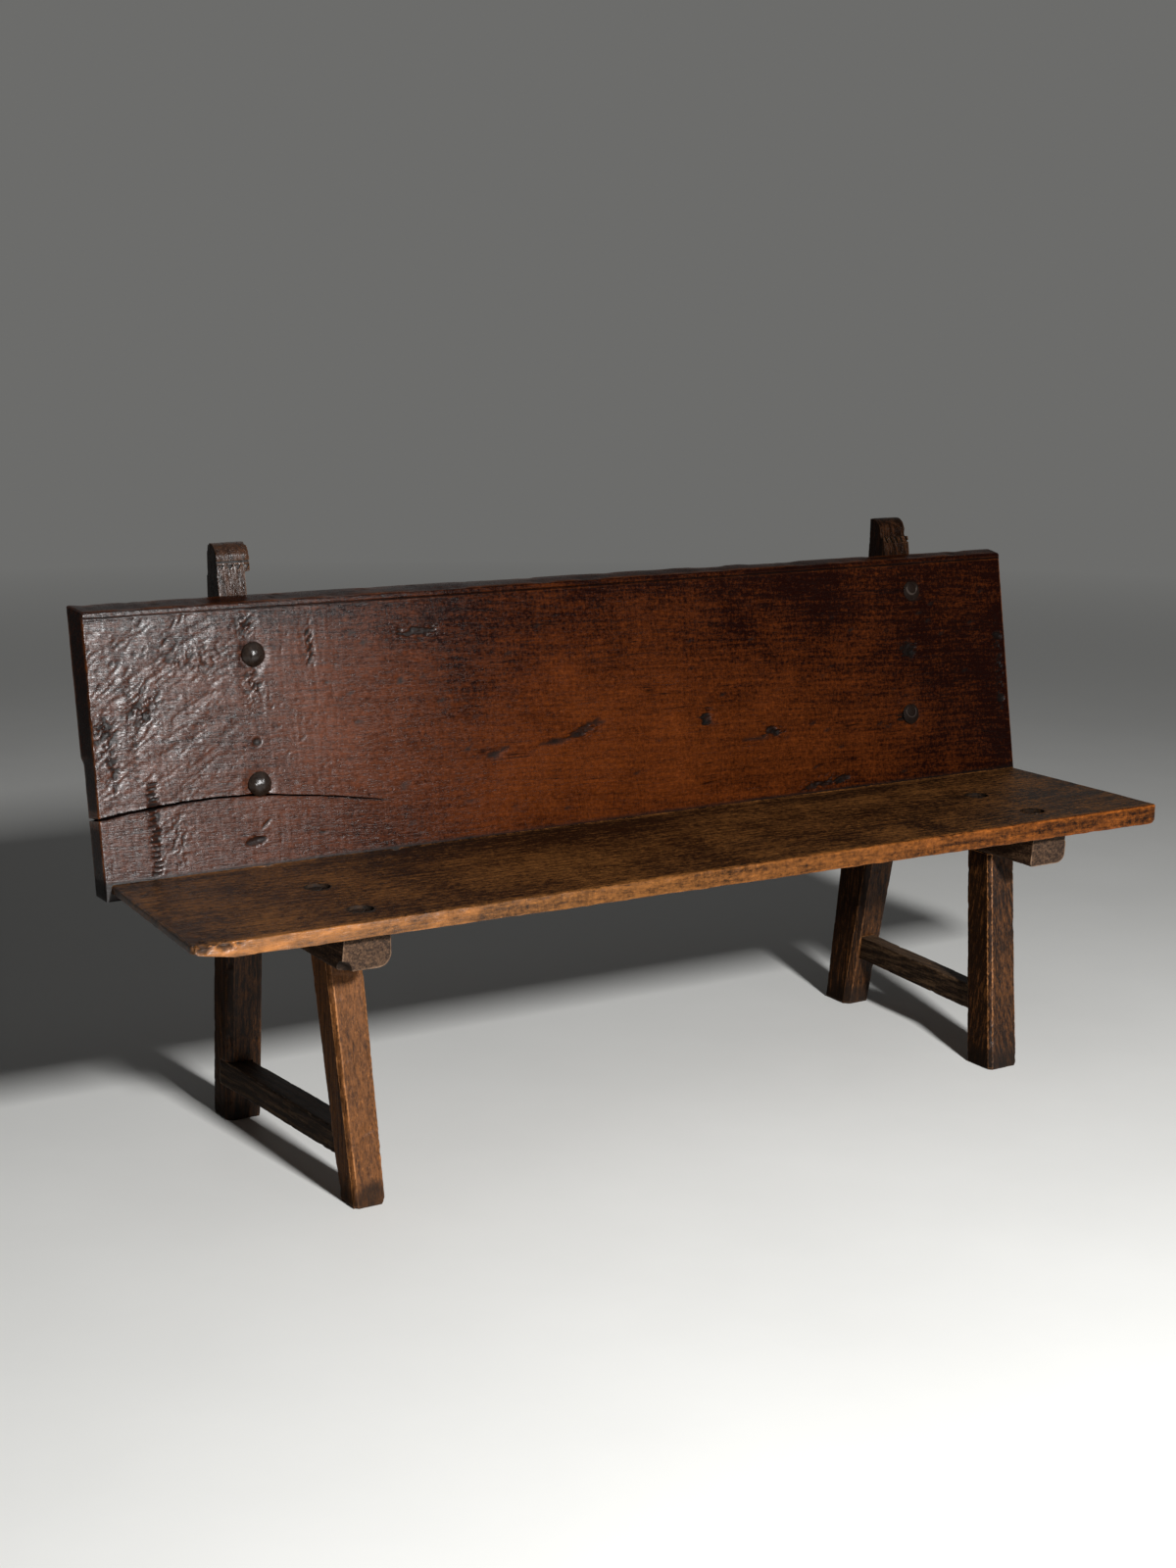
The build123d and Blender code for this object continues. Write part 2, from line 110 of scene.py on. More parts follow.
# Surroundings and lamps: (name, place, target, size, watts)
backdrop_grey = (0.150, 0.150, 0.145)
fill_grey = (0.019, 0.019, 0.019)
floor_half_width = 14
floor_fade_start = 3.0
floor_fade_end = 8.0
lamps = [
    ("key_light", (-0.40, -4.0, 2.37), (0, 0, 0.5), 0.38, 276),
    ("top_light", (0.2, -0.8, 3.4), (0, -0.2, 0), 2.2, 4),
    ("back_light", (0.8, 3.2, 2.4), (0, 0, 0.5), 2.0, 2.5),
]

# Places and directions read from the frame
seat_low, seat_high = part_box("seat_plank")
board_low, board_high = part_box("back_board")
seat_left = seat_low.x
seat_right = seat_high.x
seat_front = seat_low.y
seat_top = seat_high.z
face_y = seat_front + seat_depth
board_length = board_high.x - board_low.x
seat_length = seat_right - seat_left
up_slope = np.array([0, math.sin(board_rake), math.cos(board_rake)])
face_out = np.array([0, -math.cos(board_rake), math.sin(board_rake)])
board_origin = np.array([0, face_y, seat_top])
to_left = (-1, 0, 0)
to_right = (1, 0, 0)
to_front = (0, -1, 0)
upward = (0, 0, 1)
downward = (0, 0, -1)
peg_nodes = [node for node in sorted(frame["nodes"]) if node.endswith("_seat_peg")]
nail_nodes = [node for node in sorted(frame["nodes"]) if node.endswith("_nail")]
slot_of = {part["node"]: part["material_slot"] for part in frame["record"]["subparts"]}


def centre(node):
    """The middle of a node's box."""
    low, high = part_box(node)
    return (np.array(low) + np.array(high)) / 2


def from_peg(points, node):
    """How far points lie from a peg's axis, seen from above."""
    away = points - centre(node)
    return np.hypot(away[:, 0], away[:, 1])


def taper(left, right, run, length):
    """A size that goes evenly from one at the left end to another at the right end."""
    return left + (right - left) * run / length


# Seeded noise

def hashed(cells, seed):
    """A fixed number between 0 and 1 for each whole-number cell."""
    mixed = cells[:, 0] * 73856093 ^ cells[:, 1] * 19349663 ^ cells[:, 2] * 83492791 ^ seed * 2654435761
    mixed = (mixed ^ mixed >> 13) * 1274126177 & 0x7FFFFFFF
    mixed = (mixed ^ mixed >> 15) * 2246822519 & 0x7FFFFFFF
    return (mixed >> 7 & 0xFFFF) / 0xFFFF


def smooth_noise(points, seed):
    """Smooth noise between 0 and 1, with cells of one unit."""
    cell = np.floor(points).astype(np.int64)
    part = points - cell
    part = part**3 * (part * (part * 6 - 15) + 10)
    total = np.zeros(len(points))
    for corner in np.ndindex(2, 2, 2):
        share = np.where(corner, part, 1 - part).prod(axis=1)
        total += share * hashed(cell + np.array(corner), seed)
    return total


def noise(points, cell_size, seed, layers=3):
    """Layered noise between 0 and 1; cell_size is a length, or one length for each axis."""
    scaled = points / np.array(cell_size)
    total = np.zeros(len(points))
    weight = 0
    for layer in range(layers):
        share = 0.5**layer
        total += share * smooth_noise(scaled * 2**layer, seed + layer)
        weight += share
    return total / weight


def step_up(value, low, high):
    """Smooth step from 0 at low to 1 at high."""
    part = np.clip((value - low) / (high - low), 0, 1)
    return part * part * (3 - 2 * part)


# Meshes

def steps(*stretches):
    """Positions from 0, in stretches that are each given as (end, spacing)."""
    positions = [0.0]
    for end, spacing in stretches:
        start = positions[-1]
        count = max(1, round((end - start) / spacing))
        positions.extend(start + (end - start) * (number + 1) / count for number in range(count))
    return np.array(positions)


def block_surface(shape):
    """Lattice indices of a block's surface points, and the quads that join them, facing out."""
    index = np.indices(shape)
    last = np.array(shape).reshape(3, 1, 1, 1) - 1
    outer = ((index == 0) | (index == last)).any(axis=0)
    number = np.full(shape, -1)
    number[outer] = np.arange(outer.sum())
    quads = []
    for axis in range(3):
        for end in (0, -1):
            sheet = np.take(number, end, axis=axis)
            if axis == 1:
                sheet = sheet.T
            if end == 0:
                sheet = sheet.T
            corners = (sheet[:-1, :-1], sheet[1:, :-1], sheet[1:, 1:], sheet[:-1, 1:])
            quads.append(np.stack([corner.ravel() for corner in corners], axis=1))
    return index[:, outer], np.concatenate(quads).tolist()


def new_piece(name, data):
    """An object that holds a mesh, lamp or camera, in the scene."""
    piece = bpy.data.objects.new(name, data)
    bpy.context.scene.collection.objects.link(piece)
    return piece


def mesh_from(name, points, faces):
    """A mesh from an array of points and a list of faces."""
    mesh = bpy.data.meshes.new(name)
    mesh.from_pydata(points.tolist(), [], faces)
    mesh.update()
    return mesh


def read(items, name, width, kind=float):
    """One field of a mesh's points or edges, as rows of numbers."""
    values = np.empty(len(items) * width, kind)
    items.foreach_get(name, values)
    return values.reshape(-1, width)


def read_mesh(mesh):
    """Points and point normals of a mesh, as arrays."""
    return read(mesh.vertices, "co", 3), read(mesh.vertex_normals, "vector", 3)


def write_points(mesh, points):
    """Moves a mesh's points."""
    mesh.vertices.foreach_set("co", points.ravel())
    mesh.update()


def smoothed(points, edges, rounds):
    """Points after a number of rounds of moving half way to their neighbours' middle."""
    count = np.bincount(edges.ravel(), minlength=len(points))
    ends = np.concatenate([edges[:, 0], edges[:, 1]])
    others = np.concatenate([edges[:, 1], edges[:, 0]])
    for _ in range(rounds):
        total = [np.bincount(ends, points[others, axis], len(points)) / count for axis in range(3)]
        points = (points + np.stack(total, axis=1)) / 2
    return points


def ridges(mesh, rounds):
    """How far each point stands out of its smoothed surroundings; hollows are negative."""
    points, normals = read_mesh(mesh)
    edges = read(mesh.edges, "vertices", 2, int)
    return ((points - smoothed(points, edges, rounds)) * normals).sum(axis=1)


def soften(first, second, radius):
    """Rounds the edge between two faces, given each point's distance inside both of them."""
    near = (first < radius) & (second < radius)
    from_first = np.where(near, radius - first, 1)
    from_second = np.where(near, radius - second, 1)
    pull = np.maximum(from_first, from_second) / np.hypot(from_first, from_second)
    first = np.where(near, radius - from_first * pull, first)
    second = np.where(near, radius - from_second * pull, second)
    return first, second


def gouges(along, across, marks):
    """Depth field of marks: (place along, place across, length, width, depth, turn) for each."""
    total = np.zeros(len(along))
    for place_along, place_across, length, width, depth, turn in marks:
        reach = max(length, width)
        near = np.flatnonzero((abs(along - place_along) < reach) & (abs(across - place_across) < reach))
        away_along = along[near] - place_along
        away_across = across[near] - place_across
        turned_along = away_along * math.cos(turn) + away_across * math.sin(turn)
        turned_across = away_across * math.cos(turn) - away_along * math.sin(turn)
        inside = 1 - (turned_along / length) ** 2 - (turned_across / width) ** 2
        total[near] = np.maximum(total[near], depth * np.clip(inside, 0, 1))
    return total


def scatter(seed, count, middle, spread, size, depth, turn):
    """A seeded cluster of gouges about a place."""
    draw = np.random.default_rng(seed)
    marks = []
    for _ in range(count):
        length = size[0] * draw.uniform(0.5, 1.4)
        width = size[1] * draw.uniform(0.6, 1.3)
        place = (draw.normal(middle[0], spread[0]), draw.normal(middle[1], spread[1]))
        marks.append((*place, length, width, depth * draw.uniform(0.3, 1), turn + draw.normal(0, 0.35)))
    return marks


def nick_row(place, sway, pitch, size, turn):
    """Seven nicks one above the other, swaying from side to side."""
    return [(place[0] + sway * (n % 2), place[1] + pitch * n, *size, turn) for n in range(7)]


def facing(normals, direction):
    """1 where a surface faces a direction, 0 where it turns away from it."""
    return step_up(normals @ np.array(direction, float), 0.55, 0.9)


def end_grain(points, normals):
    """1 on a plank's left and right ends, 0 elsewhere."""
    ends = facing(normals, to_left) + facing(normals, to_right)
    return ends * (abs(points[:, 0]) > 0.8)


def refine(mesh, wanted):
    """Divides the faces whose middle and normal are wanted once more."""
    work = bmesh.new()
    work.from_mesh(mesh)
    chosen = [wanted(face.calc_center_median(), face.normal) for face in work.faces]
    edges = [edge for edge in work.edges if any(chosen[face.index] for face in edge.link_faces)]
    bmesh.ops.subdivide_edges(work, edges=edges, cuts=1, use_grid_fill=True)
    work.to_mesh(mesh)
    work.free()
    mesh.update()


def evaluated_copy(piece):
    """The piece's mesh with its modifiers applied."""
    graph = bpy.context.evaluated_depsgraph_get()
    return bpy.data.meshes.new_from_object(piece.evaluated_get(graph))


# Back board

# Scars on its front, as gouges: a ladder of chops near the left end, rows of nicks, single marks
board_scars = [
    *[(-0.788 + 0.002 * (n % 3 - 1), 0.008 + 0.0078 * n, 0.010, 0.0027, 0.0032, 0.12) for n in range(18)],
    *nick_row((-0.808, 0.150), 0.003, 0.010, (0.007, 0.0026, 0.0014), -0.3),
    *nick_row((-0.516, 0.305), 0.004, 0.007, (0.006, 0.0022, 0.0026), 0.7),
    *nick_row((-0.300, 0.215), 0.002, 0.008, (0.005, 0.0022, 0.0012), 0.4),
    (-0.630, 0.038, 0.019, 0.0065, 0.006, 0.15),
    (-0.612, 0.062, 0.014, 0.0022, 0.002, 0.7),
    (-0.615, 0.187, 0.008, 0.007, 0.004, 0.2),
    (0.662, 0.230, 0.008, 0.008, 0.004, 0),
    (0.868, 0.245, 0.008, 0.013, 0.004, 1.3),
    (0.866, 0.130, 0.010, 0.010, 0.003, 0.6),
]
# Knots on its front: (x, height, reach along, reach up, slope)
board_knots = [
    (-0.040, 0.152, 0.026, 0.0060, 0.35),
    (-0.095, 0.139, 0.034, 0.0030, 0.05),
    (-0.205, 0.132, 0.020, 0.0050, 0.10),
    (0.205, 0.152, 0.010, 0.0150, 0.40),
    (0.345, 0.117, 0.018, 0.0075, -0.20),
    (0.300, 0.108, 0.030, 0.0030, 0.05),
    (0.481, 0.018, 0.022, 0.0065, 0.10),
    (0.425, 0.014, 0.024, 0.0060, 0.05),
    (-0.330, 0.335, 0.034, 0.0060, 0.00),
    (0.655, 0.235, 0.016, 0.0120, 0.00),
    (0.640, 0.118, 0.020, 0.0100, 0.20),
]
# Rough places on its front: (x, height, reach along, reach up, depth)
board_rough_places = [
    (-0.792, 0.255, 0.022, 0.030, 0.0044),
    (-0.850, 0.215, 0.016, 0.026, 0.0054),
    (-0.846, 0.165, 0.012, 0.028, 0.0034),
    (-0.700, 0.318, 0.060, 0.018, 0.0022),
    (-0.616, 0.362, 0.016, 0.014, 0.0044),
    (-0.612, 0.275, 0.012, 0.026, 0.0038),
    (-0.784, 0.075, 0.010, 0.070, 0.0020),
    (-0.755, 0.060, 0.020, 0.040, 0.0020),
    (-0.516, 0.325, 0.009, 0.034, 0.0026),
    (-0.330, 0.335, 0.040, 0.010, 0.0012),
    (-0.040, 0.150, 0.030, 0.008, 0.0020),
    (0.345, 0.118, 0.022, 0.010, 0.0024),
    (0.450, 0.018, 0.050, 0.012, 0.0026),
    (0.205, 0.150, 0.010, 0.016, 0.0020),
    (0.655, 0.235, 0.020, 0.020, 0.0018),
    (0.640, 0.120, 0.030, 0.030, 0.0016),
    (0.866, 0.190, 0.010, 0.080, 0.0026),
]
# Small dents on its front, and the adze's scoops at its left
board_dents = [
    *scatter(17, 150, (-0.700, 0.170), (0.110, 0.110), (0.0060, 0.0018), 0.0010, 0.25),
    *scatter(19, 150, (-0.050, 0.190), (0.380, 0.110), (0.0075, 0.0020), 0.0011, 0.05),
    *scatter(20, 90, (0.640, 0.200), (0.150, 0.110), (0.0065, 0.0022), 0.0012, 0.15),
    *scatter(21, 60, (-0.330, 0.170), (0.130, 0.090), (0.0022, 0.0060), 0.0009, 0.1),
    *scatter(22, 40, (-0.790, 0.330), (0.050, 0.030), (0.0100, 0.0028), 0.0014, 0.5),
]
adze_scoops = scatter(71, 110, (-0.790, 0.270), (0.085, 0.080), (0.040, 0.018), 0.0010, 0.45)


def crack_height(run):
    """Height of the split above the seat, at a run from the board's left end."""
    before = np.clip(1 - run / crack_crest_run, 0, None)
    after = np.clip((run - crack_crest_run) / (crack_length - crack_crest_run), 0, 1)
    rise = crack_crest_height - (crack_crest_height - crack_start_height) * before**2
    return rise - (crack_crest_height - crack_tip_height) * after**1.5


def crack_fading(run):
    """1 where the split starts, falling evenly to 0 at its tip."""
    return np.clip(1 - run / crack_length, 0, 1)


def board_bottom(run):
    """Height of the board's bottom, which is level with the seat's underside."""
    return -taper(seat_thickness_left, seat_thickness_right, run, board_length) / math.cos(board_rake)


def flat(x, height):
    """Points of the board's front, for its noise."""
    return np.stack([x, 0 * x, height], axis=1)


def slanted(x, height):
    """Coordinates on the board's front along and across the slant of the adze's strokes."""
    return flat(x * 0.88 + height * 0.48, height * 0.88 - x * 0.48)


def nail_height(node):
    """Height of a nail's head above the seat, up the board's slope."""
    head = np.array([0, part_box(node)[0].y, centre(node)[2]])
    return (head - board_origin) @ up_slope


def board_hewing(x, height):
    """How far the board's front is planed in waves, adzed at its left and sunk round its nails."""
    waves = 0.0012 * noise(flat(x, height), (0.34, 1, 0.16), 31, 2)
    chatter = 0.00035 * noise(flat(x, height), (0.006, 1, 0.05), 34, 2)
    adzed = step_up(-x, 0.54, 0.74) * step_up(height, 0.02, 0.20)
    strokes = slanted(x, height)
    flakes = np.mod(strokes[:, 2] / 0.013 + 2.6 * noise(strokes, (0.08, 1, 0.030), 32, 2), 1)
    flakes = 0.0009 * flakes * step_up(noise(strokes, (0.04, 1, 0.02), 33, 2), 0.45, 0.62)
    depth = waves + chatter + adzed * (gouges(x, height, adze_scoops) + flakes)
    for node in nail_nodes:
        away = np.hypot(x - centre(node)[0], height - nail_height(node))
        depth = depth + 0.0012 * step_up(-away, -0.030, -0.017)
    return depth


def away_from(x, height, place, slope=0.0):
    """Square of the distance from a place on the board's front, 1 at its reach along or up."""
    place_x, place_height, reach_along, reach_up = place
    along = x - place_x
    return (along / reach_along) ** 2 + ((height - place_height - slope * along) / reach_up) ** 2


def board_smears(x, height):
    """Dark ragged smears at the board's knots, from 0 to 1."""
    ragged = noise(flat(x, height), (0.012, 1, 0.0035), 38, 3)
    smears = np.zeros(len(x))
    for *place, slope in board_knots:
        near = np.exp(-0.6 * away_from(x, height, place, slope))
        smears = np.maximum(smears, step_up(near + 1.2 * (ragged - 0.5), 0.45, 0.75))
    return smears


def board_marks(x, height):
    """Depth of the scars, dents, knots and torn places on the board's front."""
    crevices = abs(noise(slanted(x, height), (0.016, 1, 0.0065), 36, 2) - 0.5)
    torn = np.clip(1 - crevices * 7, 0, 1) * (0.4 + noise(flat(x, height), 0.008, 37, 1))
    rough = np.zeros(len(x))
    for *place, depth in board_rough_places:
        rough = np.maximum(rough, depth * np.exp(-away_from(x, height, place)))
    return rough * torn + gouges(x, height, board_scars + board_dents) + 0.0020 * board_smears(x, height)


def board_rows(run):
    """Heights of the board's lattice rows at runs from its left end.

    From the bottom up: the wood under the split, two rows inside it, the wood above it, the bead.
    """
    bottom = board_bottom(run)
    middle = crack_height(run) + 0.0022 * (noise(flat(run, 0 * run), 0.035, 41) - 0.5)
    half_gap = np.maximum(crack_opening * crack_fading(run) ** 0.6, crack_least_opening) / 2
    below = np.linspace(0, 1, rows_below_split)[:, None]
    inside = np.array([-0.25, 0.25])[:, None]
    above = np.linspace(0, 1, rows_above_split + 1)[:-1, None]
    under_groove = groove_height - bead_rows[0]
    return np.concatenate([
        bottom + (middle - half_gap - bottom) * below,
        middle + inside * half_gap,
        middle + half_gap + (under_groove - middle - half_gap) * above,
        groove_height - bead_rows[:, None] + 0 * run,
    ])


def board_mesh():
    """The board as a lattice: along it, up its slope, and through its thickness."""
    columns = steps(
        (0.012, 0.002),
        (adzed_run, 0.0037),
        (board_length - 0.014, 0.0098),
        (board_length, 0.002),
    )
    rows = board_rows(columns)
    lattice, quads = block_surface((len(columns), len(rows), len(board_layers)))
    column, row, layer = lattice
    run = columns[column]
    height = rows[row, column]
    bottom = board_bottom(run)
    fading = crack_fading(run)
    thickness = taper(board_thickness_left, board_thickness_right, run, board_length)
    depth = thickness * board_layers[layer]
    in_split = (row == rows_below_split) | (row == rows_below_split + 1)
    on_front = layer == len(board_layers) - 1

    # Worn edges: distances inside the front, back, left, right and top faces
    ragged = np.stack([run, height, depth], axis=1)
    edge_wear = noise(ragged, 0.05, 42)
    from_top = board_rise - height
    from_right = board_length - run
    depth, run = soften(depth, run, 0.002 + 0.003 * edge_wear)
    depth, from_right = soften(depth, from_right, 0.0025)
    depth, from_top = soften(depth, from_top, 0.0040 + 0.001 * edge_wear)
    from_back = thickness - depth
    from_back, run = soften(from_back, run, 0.0015 + 0.002 * edge_wear)
    from_back, from_right = soften(from_back, from_right, 0.004)
    from_back, from_top = soften(from_back, from_top, 0.003 + 0.004 * edge_wear)
    depth = thickness - from_back
    run, from_top = soften(run, from_top, 0.004)
    from_right, from_top = soften(from_right, from_top, 0.006)
    run = np.where(from_right < 0.05, board_length - from_right, run)
    height = board_rise - from_top

    # The split goes nearly through from both faces, and notches the left end
    open_share = crack_share * step_up(fading, 0, 0.12)
    through = thickness * (open_share + (1 - 2 * open_share) * board_layers[layer])
    depth = np.where(in_split & (open_share > 0), through, depth)
    run = np.where(in_split & (column == 0), run + crack_end_notch, run)

    # Scratched groove under the bead
    in_groove = np.clip(1 - abs(height - groove_height) / bead_groove_half_width, 0, 1)
    groove_noise = 0.6 + 0.6 * noise(ragged, (0.09, 1, 1), 43)
    depth = depth + np.where(on_front, bead_groove_depth * in_groove * groove_noise, 0)

    # Bottom and top follow the cuts of the frame's solid across the thickness
    share = (height - bottom) / (board_rise - bottom)
    bottom_shear = math.tan(board_rake) * step_up(-share, -0.12, 0)
    top_shear = math.tan(board_rake + board_top_tilt) * step_up(share, 0.88, 1)
    sheared = height + depth * (bottom_shear + top_shear)

    # Left end: not square, and stepped below its middle
    left_end = np.clip(1 - run / 0.02, 0, 1)
    lean = 0.004 * left_end * depth / thickness * step_up(height, 0.176, 0.190)
    lean = lean - 0.004 * left_end * (1 - depth / thickness) * step_up(height, 0.05, 0.35)
    across = (board_low.x + run - lean)[:, None] * np.array([1, 0, 0])
    points = across + board_origin + sheared[:, None] * up_slope - depth[:, None] * face_out
    mesh = mesh_from("old_back_board", points, quads)

    refine(mesh, is_adzed_front)
    refine(mesh, is_rough_front)
    refine(mesh, is_rough_front)
    return mesh


def is_adzed_front(middle, normal):
    """Whether a face is on the board's front, in the adzed part at its left."""
    return middle.x < board_low.x + adzed_run and np.array(normal) @ face_out > 0.9


def is_rough_front(middle, normal):
    """Whether a face is on the board's front, at a rough place right of the adzed part."""
    if middle.x < board_low.x + adzed_run or np.array(normal) @ face_out < 0.9:
        return False
    height = (np.array(middle) - board_origin) @ up_slope
    return any(away_from(middle.x, height, place) < 1.4**2 for *place, _ in board_rough_places)


def wear_board(mesh):
    """Presses the tool marks, dents and end grain into the board; gives the depth of the dark marks."""
    points, normals = read_mesh(mesh)
    away = points - board_origin
    x = points[:, 0]
    height = away @ up_slope
    laid = np.stack([x, -(away @ face_out), height], axis=1)
    front = facing(normals, face_out)
    front = front * step_up(board_rise - height, bead_width - 0.002, bead_width + 0.004)
    marks = front * board_marks(x, height)
    depth = marks + front * board_hewing(x, height)
    hewn = 0.0030 * noise(laid, (0.13, 1, 0.055), 44, 2) + 0.0012 * noise(laid, (0.03, 1, 0.012), 45)
    depth = depth + facing(normals, -face_out) * hewn
    top_dents = 0.0022 * step_up(noise(laid, (0.05, 0.03, 1), 46), 0.45, 0.8)
    depth = depth + facing(normals, up_slope) * top_dents
    fibres = 0.0006 * noise(laid, (1, 0.016, 0.035), 47) + 0.0005 * noise(laid, (1, 0.005, 0.008), 48)
    depth = depth + end_grain(points, normals) * fibres
    write_points(mesh, points - normals * depth[:, None])
    return marks


# Seat plank

# Gouges in its top: chips at the front left corner and the back, worm-eaten spots, dents
seat_marks = [
    (seat_left + 0.017, seat_front + 0.004, 0.010, 0.007, 0.005, -0.4),
    (seat_left + 0.047, seat_front + 0.002, 0.012, 0.006, 0.005, -0.1),
    (seat_left + 0.030, seat_front + 0.008, 0.012, 0.006, 0.003, -0.3),
    (-0.40, face_y - 0.004, 0.010, 0.006, 0.004, 0.1),
    (-0.62, face_y - 0.003, 0.014, 0.004, 0.003, 0.1),
    *scatter(51, 14, (seat_left + 0.040, seat_front + 0.008), (0.022, 0.005), (0.004, 0.003), 0.003, 0.2),
    *scatter(52, 110, (0.0, seat_front + 0.18), (0.45, 0.10), (0.009, 0.004), 0.0009, 0.1),
    *scatter(53, 70, (0.0, seat_front + 0.003), (0.5, 0.003), (0.007, 0.004), 0.0020, 0.0),
    *scatter(54, 20, (0.30, seat_front + 0.05), (0.40, 0.03), (0.016, 0.003), 0.0012, 0.0),
]
# Broken-out cavities in its front, at its left corner, as gouges along it and up it
corner_cavities = [
    (seat_left + 0.017, seat_top - 0.007, 0.012, 0.0065, 0.008, 0.2),
    (seat_left + 0.047, seat_top - 0.006, 0.014, 0.0060, 0.008, -0.1),
    (seat_left + 0.068, seat_top - 0.004, 0.009, 0.0035, 0.004, -0.2),
]


def seat_mesh():
    """The seat as a lattice: along it, front to back, and bottom to top."""
    columns = steps(
        (0.012, 0.0016),
        (0.125, 0.0027),
        (seat_length - 0.014, 0.0062),
        (seat_length, 0.002),
    )
    rows = steps((0.012, 0.0016), (0.05, 0.0026), (seat_depth - 0.008, 0.0036), (seat_depth, 0.002))
    lattice, quads = block_surface((len(columns), len(rows), len(seat_layers)))
    along = columns[lattice[0]]
    inward = rows[lattice[1]]
    thickness = taper(seat_thickness_left, seat_thickness_right, along, seat_length)
    thickness = thickness - left_bevel_rise * np.clip(1 - along / left_bevel_run, 0, 1)
    from_top = thickness * (1 - seat_layers[lattice[2]])

    # Worn edges, uneven along the front
    level = np.stack([along, inward, 0 * along], axis=1)
    wear = noise(level, (0.11, 0.4, 1), 61)
    nibble = noise(level, (0.02, 0.4, 1), 62)
    from_right = seat_length - along
    front_radius = 0.0024 + 0.0034 * wear + 0.0014 * nibble
    inward, from_top = soften(inward, from_top, np.minimum(front_radius, 0.42 * thickness))
    from_bottom = thickness - from_top
    bottom_radius = np.minimum(0.002 + 0.003 * nibble, 0.4 * thickness)
    inward, from_bottom = soften(inward, from_bottom, bottom_radius)
    along, from_bottom = soften(along, from_bottom, 0.003)
    from_right, from_bottom = soften(from_right, from_bottom, seat_right_underside_round)
    from_top = thickness - from_bottom
    along, from_top = soften(along, from_top, 0.003 + 0.003 * nibble)
    from_right, from_top = soften(from_right, from_top, 0.005 + 0.002 * nibble)
    along, inward = soften(along, inward, seat_left_corner)
    from_right, inward = soften(from_right, inward, seat_right_corner)
    along = np.where(from_right < 0.1, seat_length - from_right, along)

    # Where the worn lattice lies
    left_edge = seat_left + seat_left_skew * inward / seat_depth
    x = left_edge + along * (seat_right - left_edge) / seat_length
    z = seat_top - from_top
    back = face_y - from_top * math.tan(board_rake)
    y = seat_front + inward * (back - seat_front) / seat_depth
    return mesh_from("old_seat_plank", np.stack([x, y, z], axis=1), quads)


def wear_seat(mesh):
    """Presses waves, chips and tool marks into the seat; gives the depth of the dark marks."""
    points, normals = read_mesh(mesh)
    x, y, z = points.T
    waves = 0.0014 * noise(points, (0.30, 0.12, 1), 63, 2)
    waves = waves + 0.0005 * noise(points, (0.12, 0.012, 1), 64, 2)
    for node in peg_nodes:
        waves = waves + 0.0009 * step_up(-from_peg(points, node), -0.028, -0.018)
    near_top = step_up(z, seat_top - 0.014, seat_top - 0.004)
    marks = near_top * gouges(x, y, seat_marks)
    in_front = step_up(-normals[:, 1], 0.2, 0.6) * (y < seat_front + 0.03)
    marks = np.maximum(marks, in_front * gouges(x, z, corner_cavities))
    depth = facing(normals, upward) * waves + marks
    hewn = 0.0026 * noise(points, (0.10, 0.05, 1), 65, 2) + 0.0010 * noise(points, (0.05, 0.012, 1), 66)
    depth = depth + facing(normals, downward) * hewn
    front_dents = 0.0012 * step_up(noise(points, (0.035, 1, 0.010), 67), 0.5, 0.8)
    front_dents = front_dents + 0.0006 * noise(points, (0.2, 1, 0.02), 68)
    depth = depth + facing(normals, to_front) * front_dents * (y < seat_front + 0.01)
    depth = depth + end_grain(points, normals) * 0.0012 * noise(points, (1, 0.03, 0.009), 69)
    write_points(mesh, points - normals * depth[:, None])
    return marks


def hole_cutter(node):
    """An upright cutter, not quite round, where a peg stands."""
    low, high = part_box(node)
    count = peg_hole_sides
    turn = np.arange(count) / count * 2 * math.pi
    ring = np.stack([np.cos(turn), np.sin(turn)], axis=1) * ((high.x - low.x) / 2 + peg_hole_clearance)
    ring = ring * (1 + 0.012 * np.sin(3 * turn + 40 * low.x))[:, None] + centre(node)[:2]
    bottom = np.column_stack([ring, np.full(count, low.z - 0.01)])
    top = np.column_stack([ring, np.full(count, high.z + 0.03)])
    side = [[n, (n + 1) % count, count + (n + 1) % count, count + n] for n in range(count)]
    ends = [list(range(count - 1, -1, -1)), list(range(count, 2 * count))]
    name = node + "_cutter"
    return new_piece(name, mesh_from(name, np.concatenate([bottom, top]), side + ends))


def drill(mesh):
    """Cuts the pegs' holes through the seat."""
    plank = new_piece("plank_to_drill", mesh)
    cutters = [hole_cutter(node) for node in peg_nodes]
    for cutter in cutters:
        cut = plank.modifiers.new("hole", "BOOLEAN")
        cut.operation = "DIFFERENCE"
        cut.solver = "EXACT"
        cut.object = cutter
    drilled = evaluated_copy(plank)
    for spare in [plank, *cutters]:
        bpy.data.objects.remove(spare)
    return drilled


# Bars, pegs and nails: worn down from the frame's own shapes

cell_sizes = {
    "leg": 0.0022,
    "post": 0.0025,
    "batten": 0.0025,
    "stretcher": 0.0020,
    "wedge": 0.0012,
    "peg": 0.0011,
    "nail": 0.0007,
}
grain_axis = {"leg": 2, "post": 2, "batten": 1, "stretcher": 1, "wedge": 2, "peg": 2}
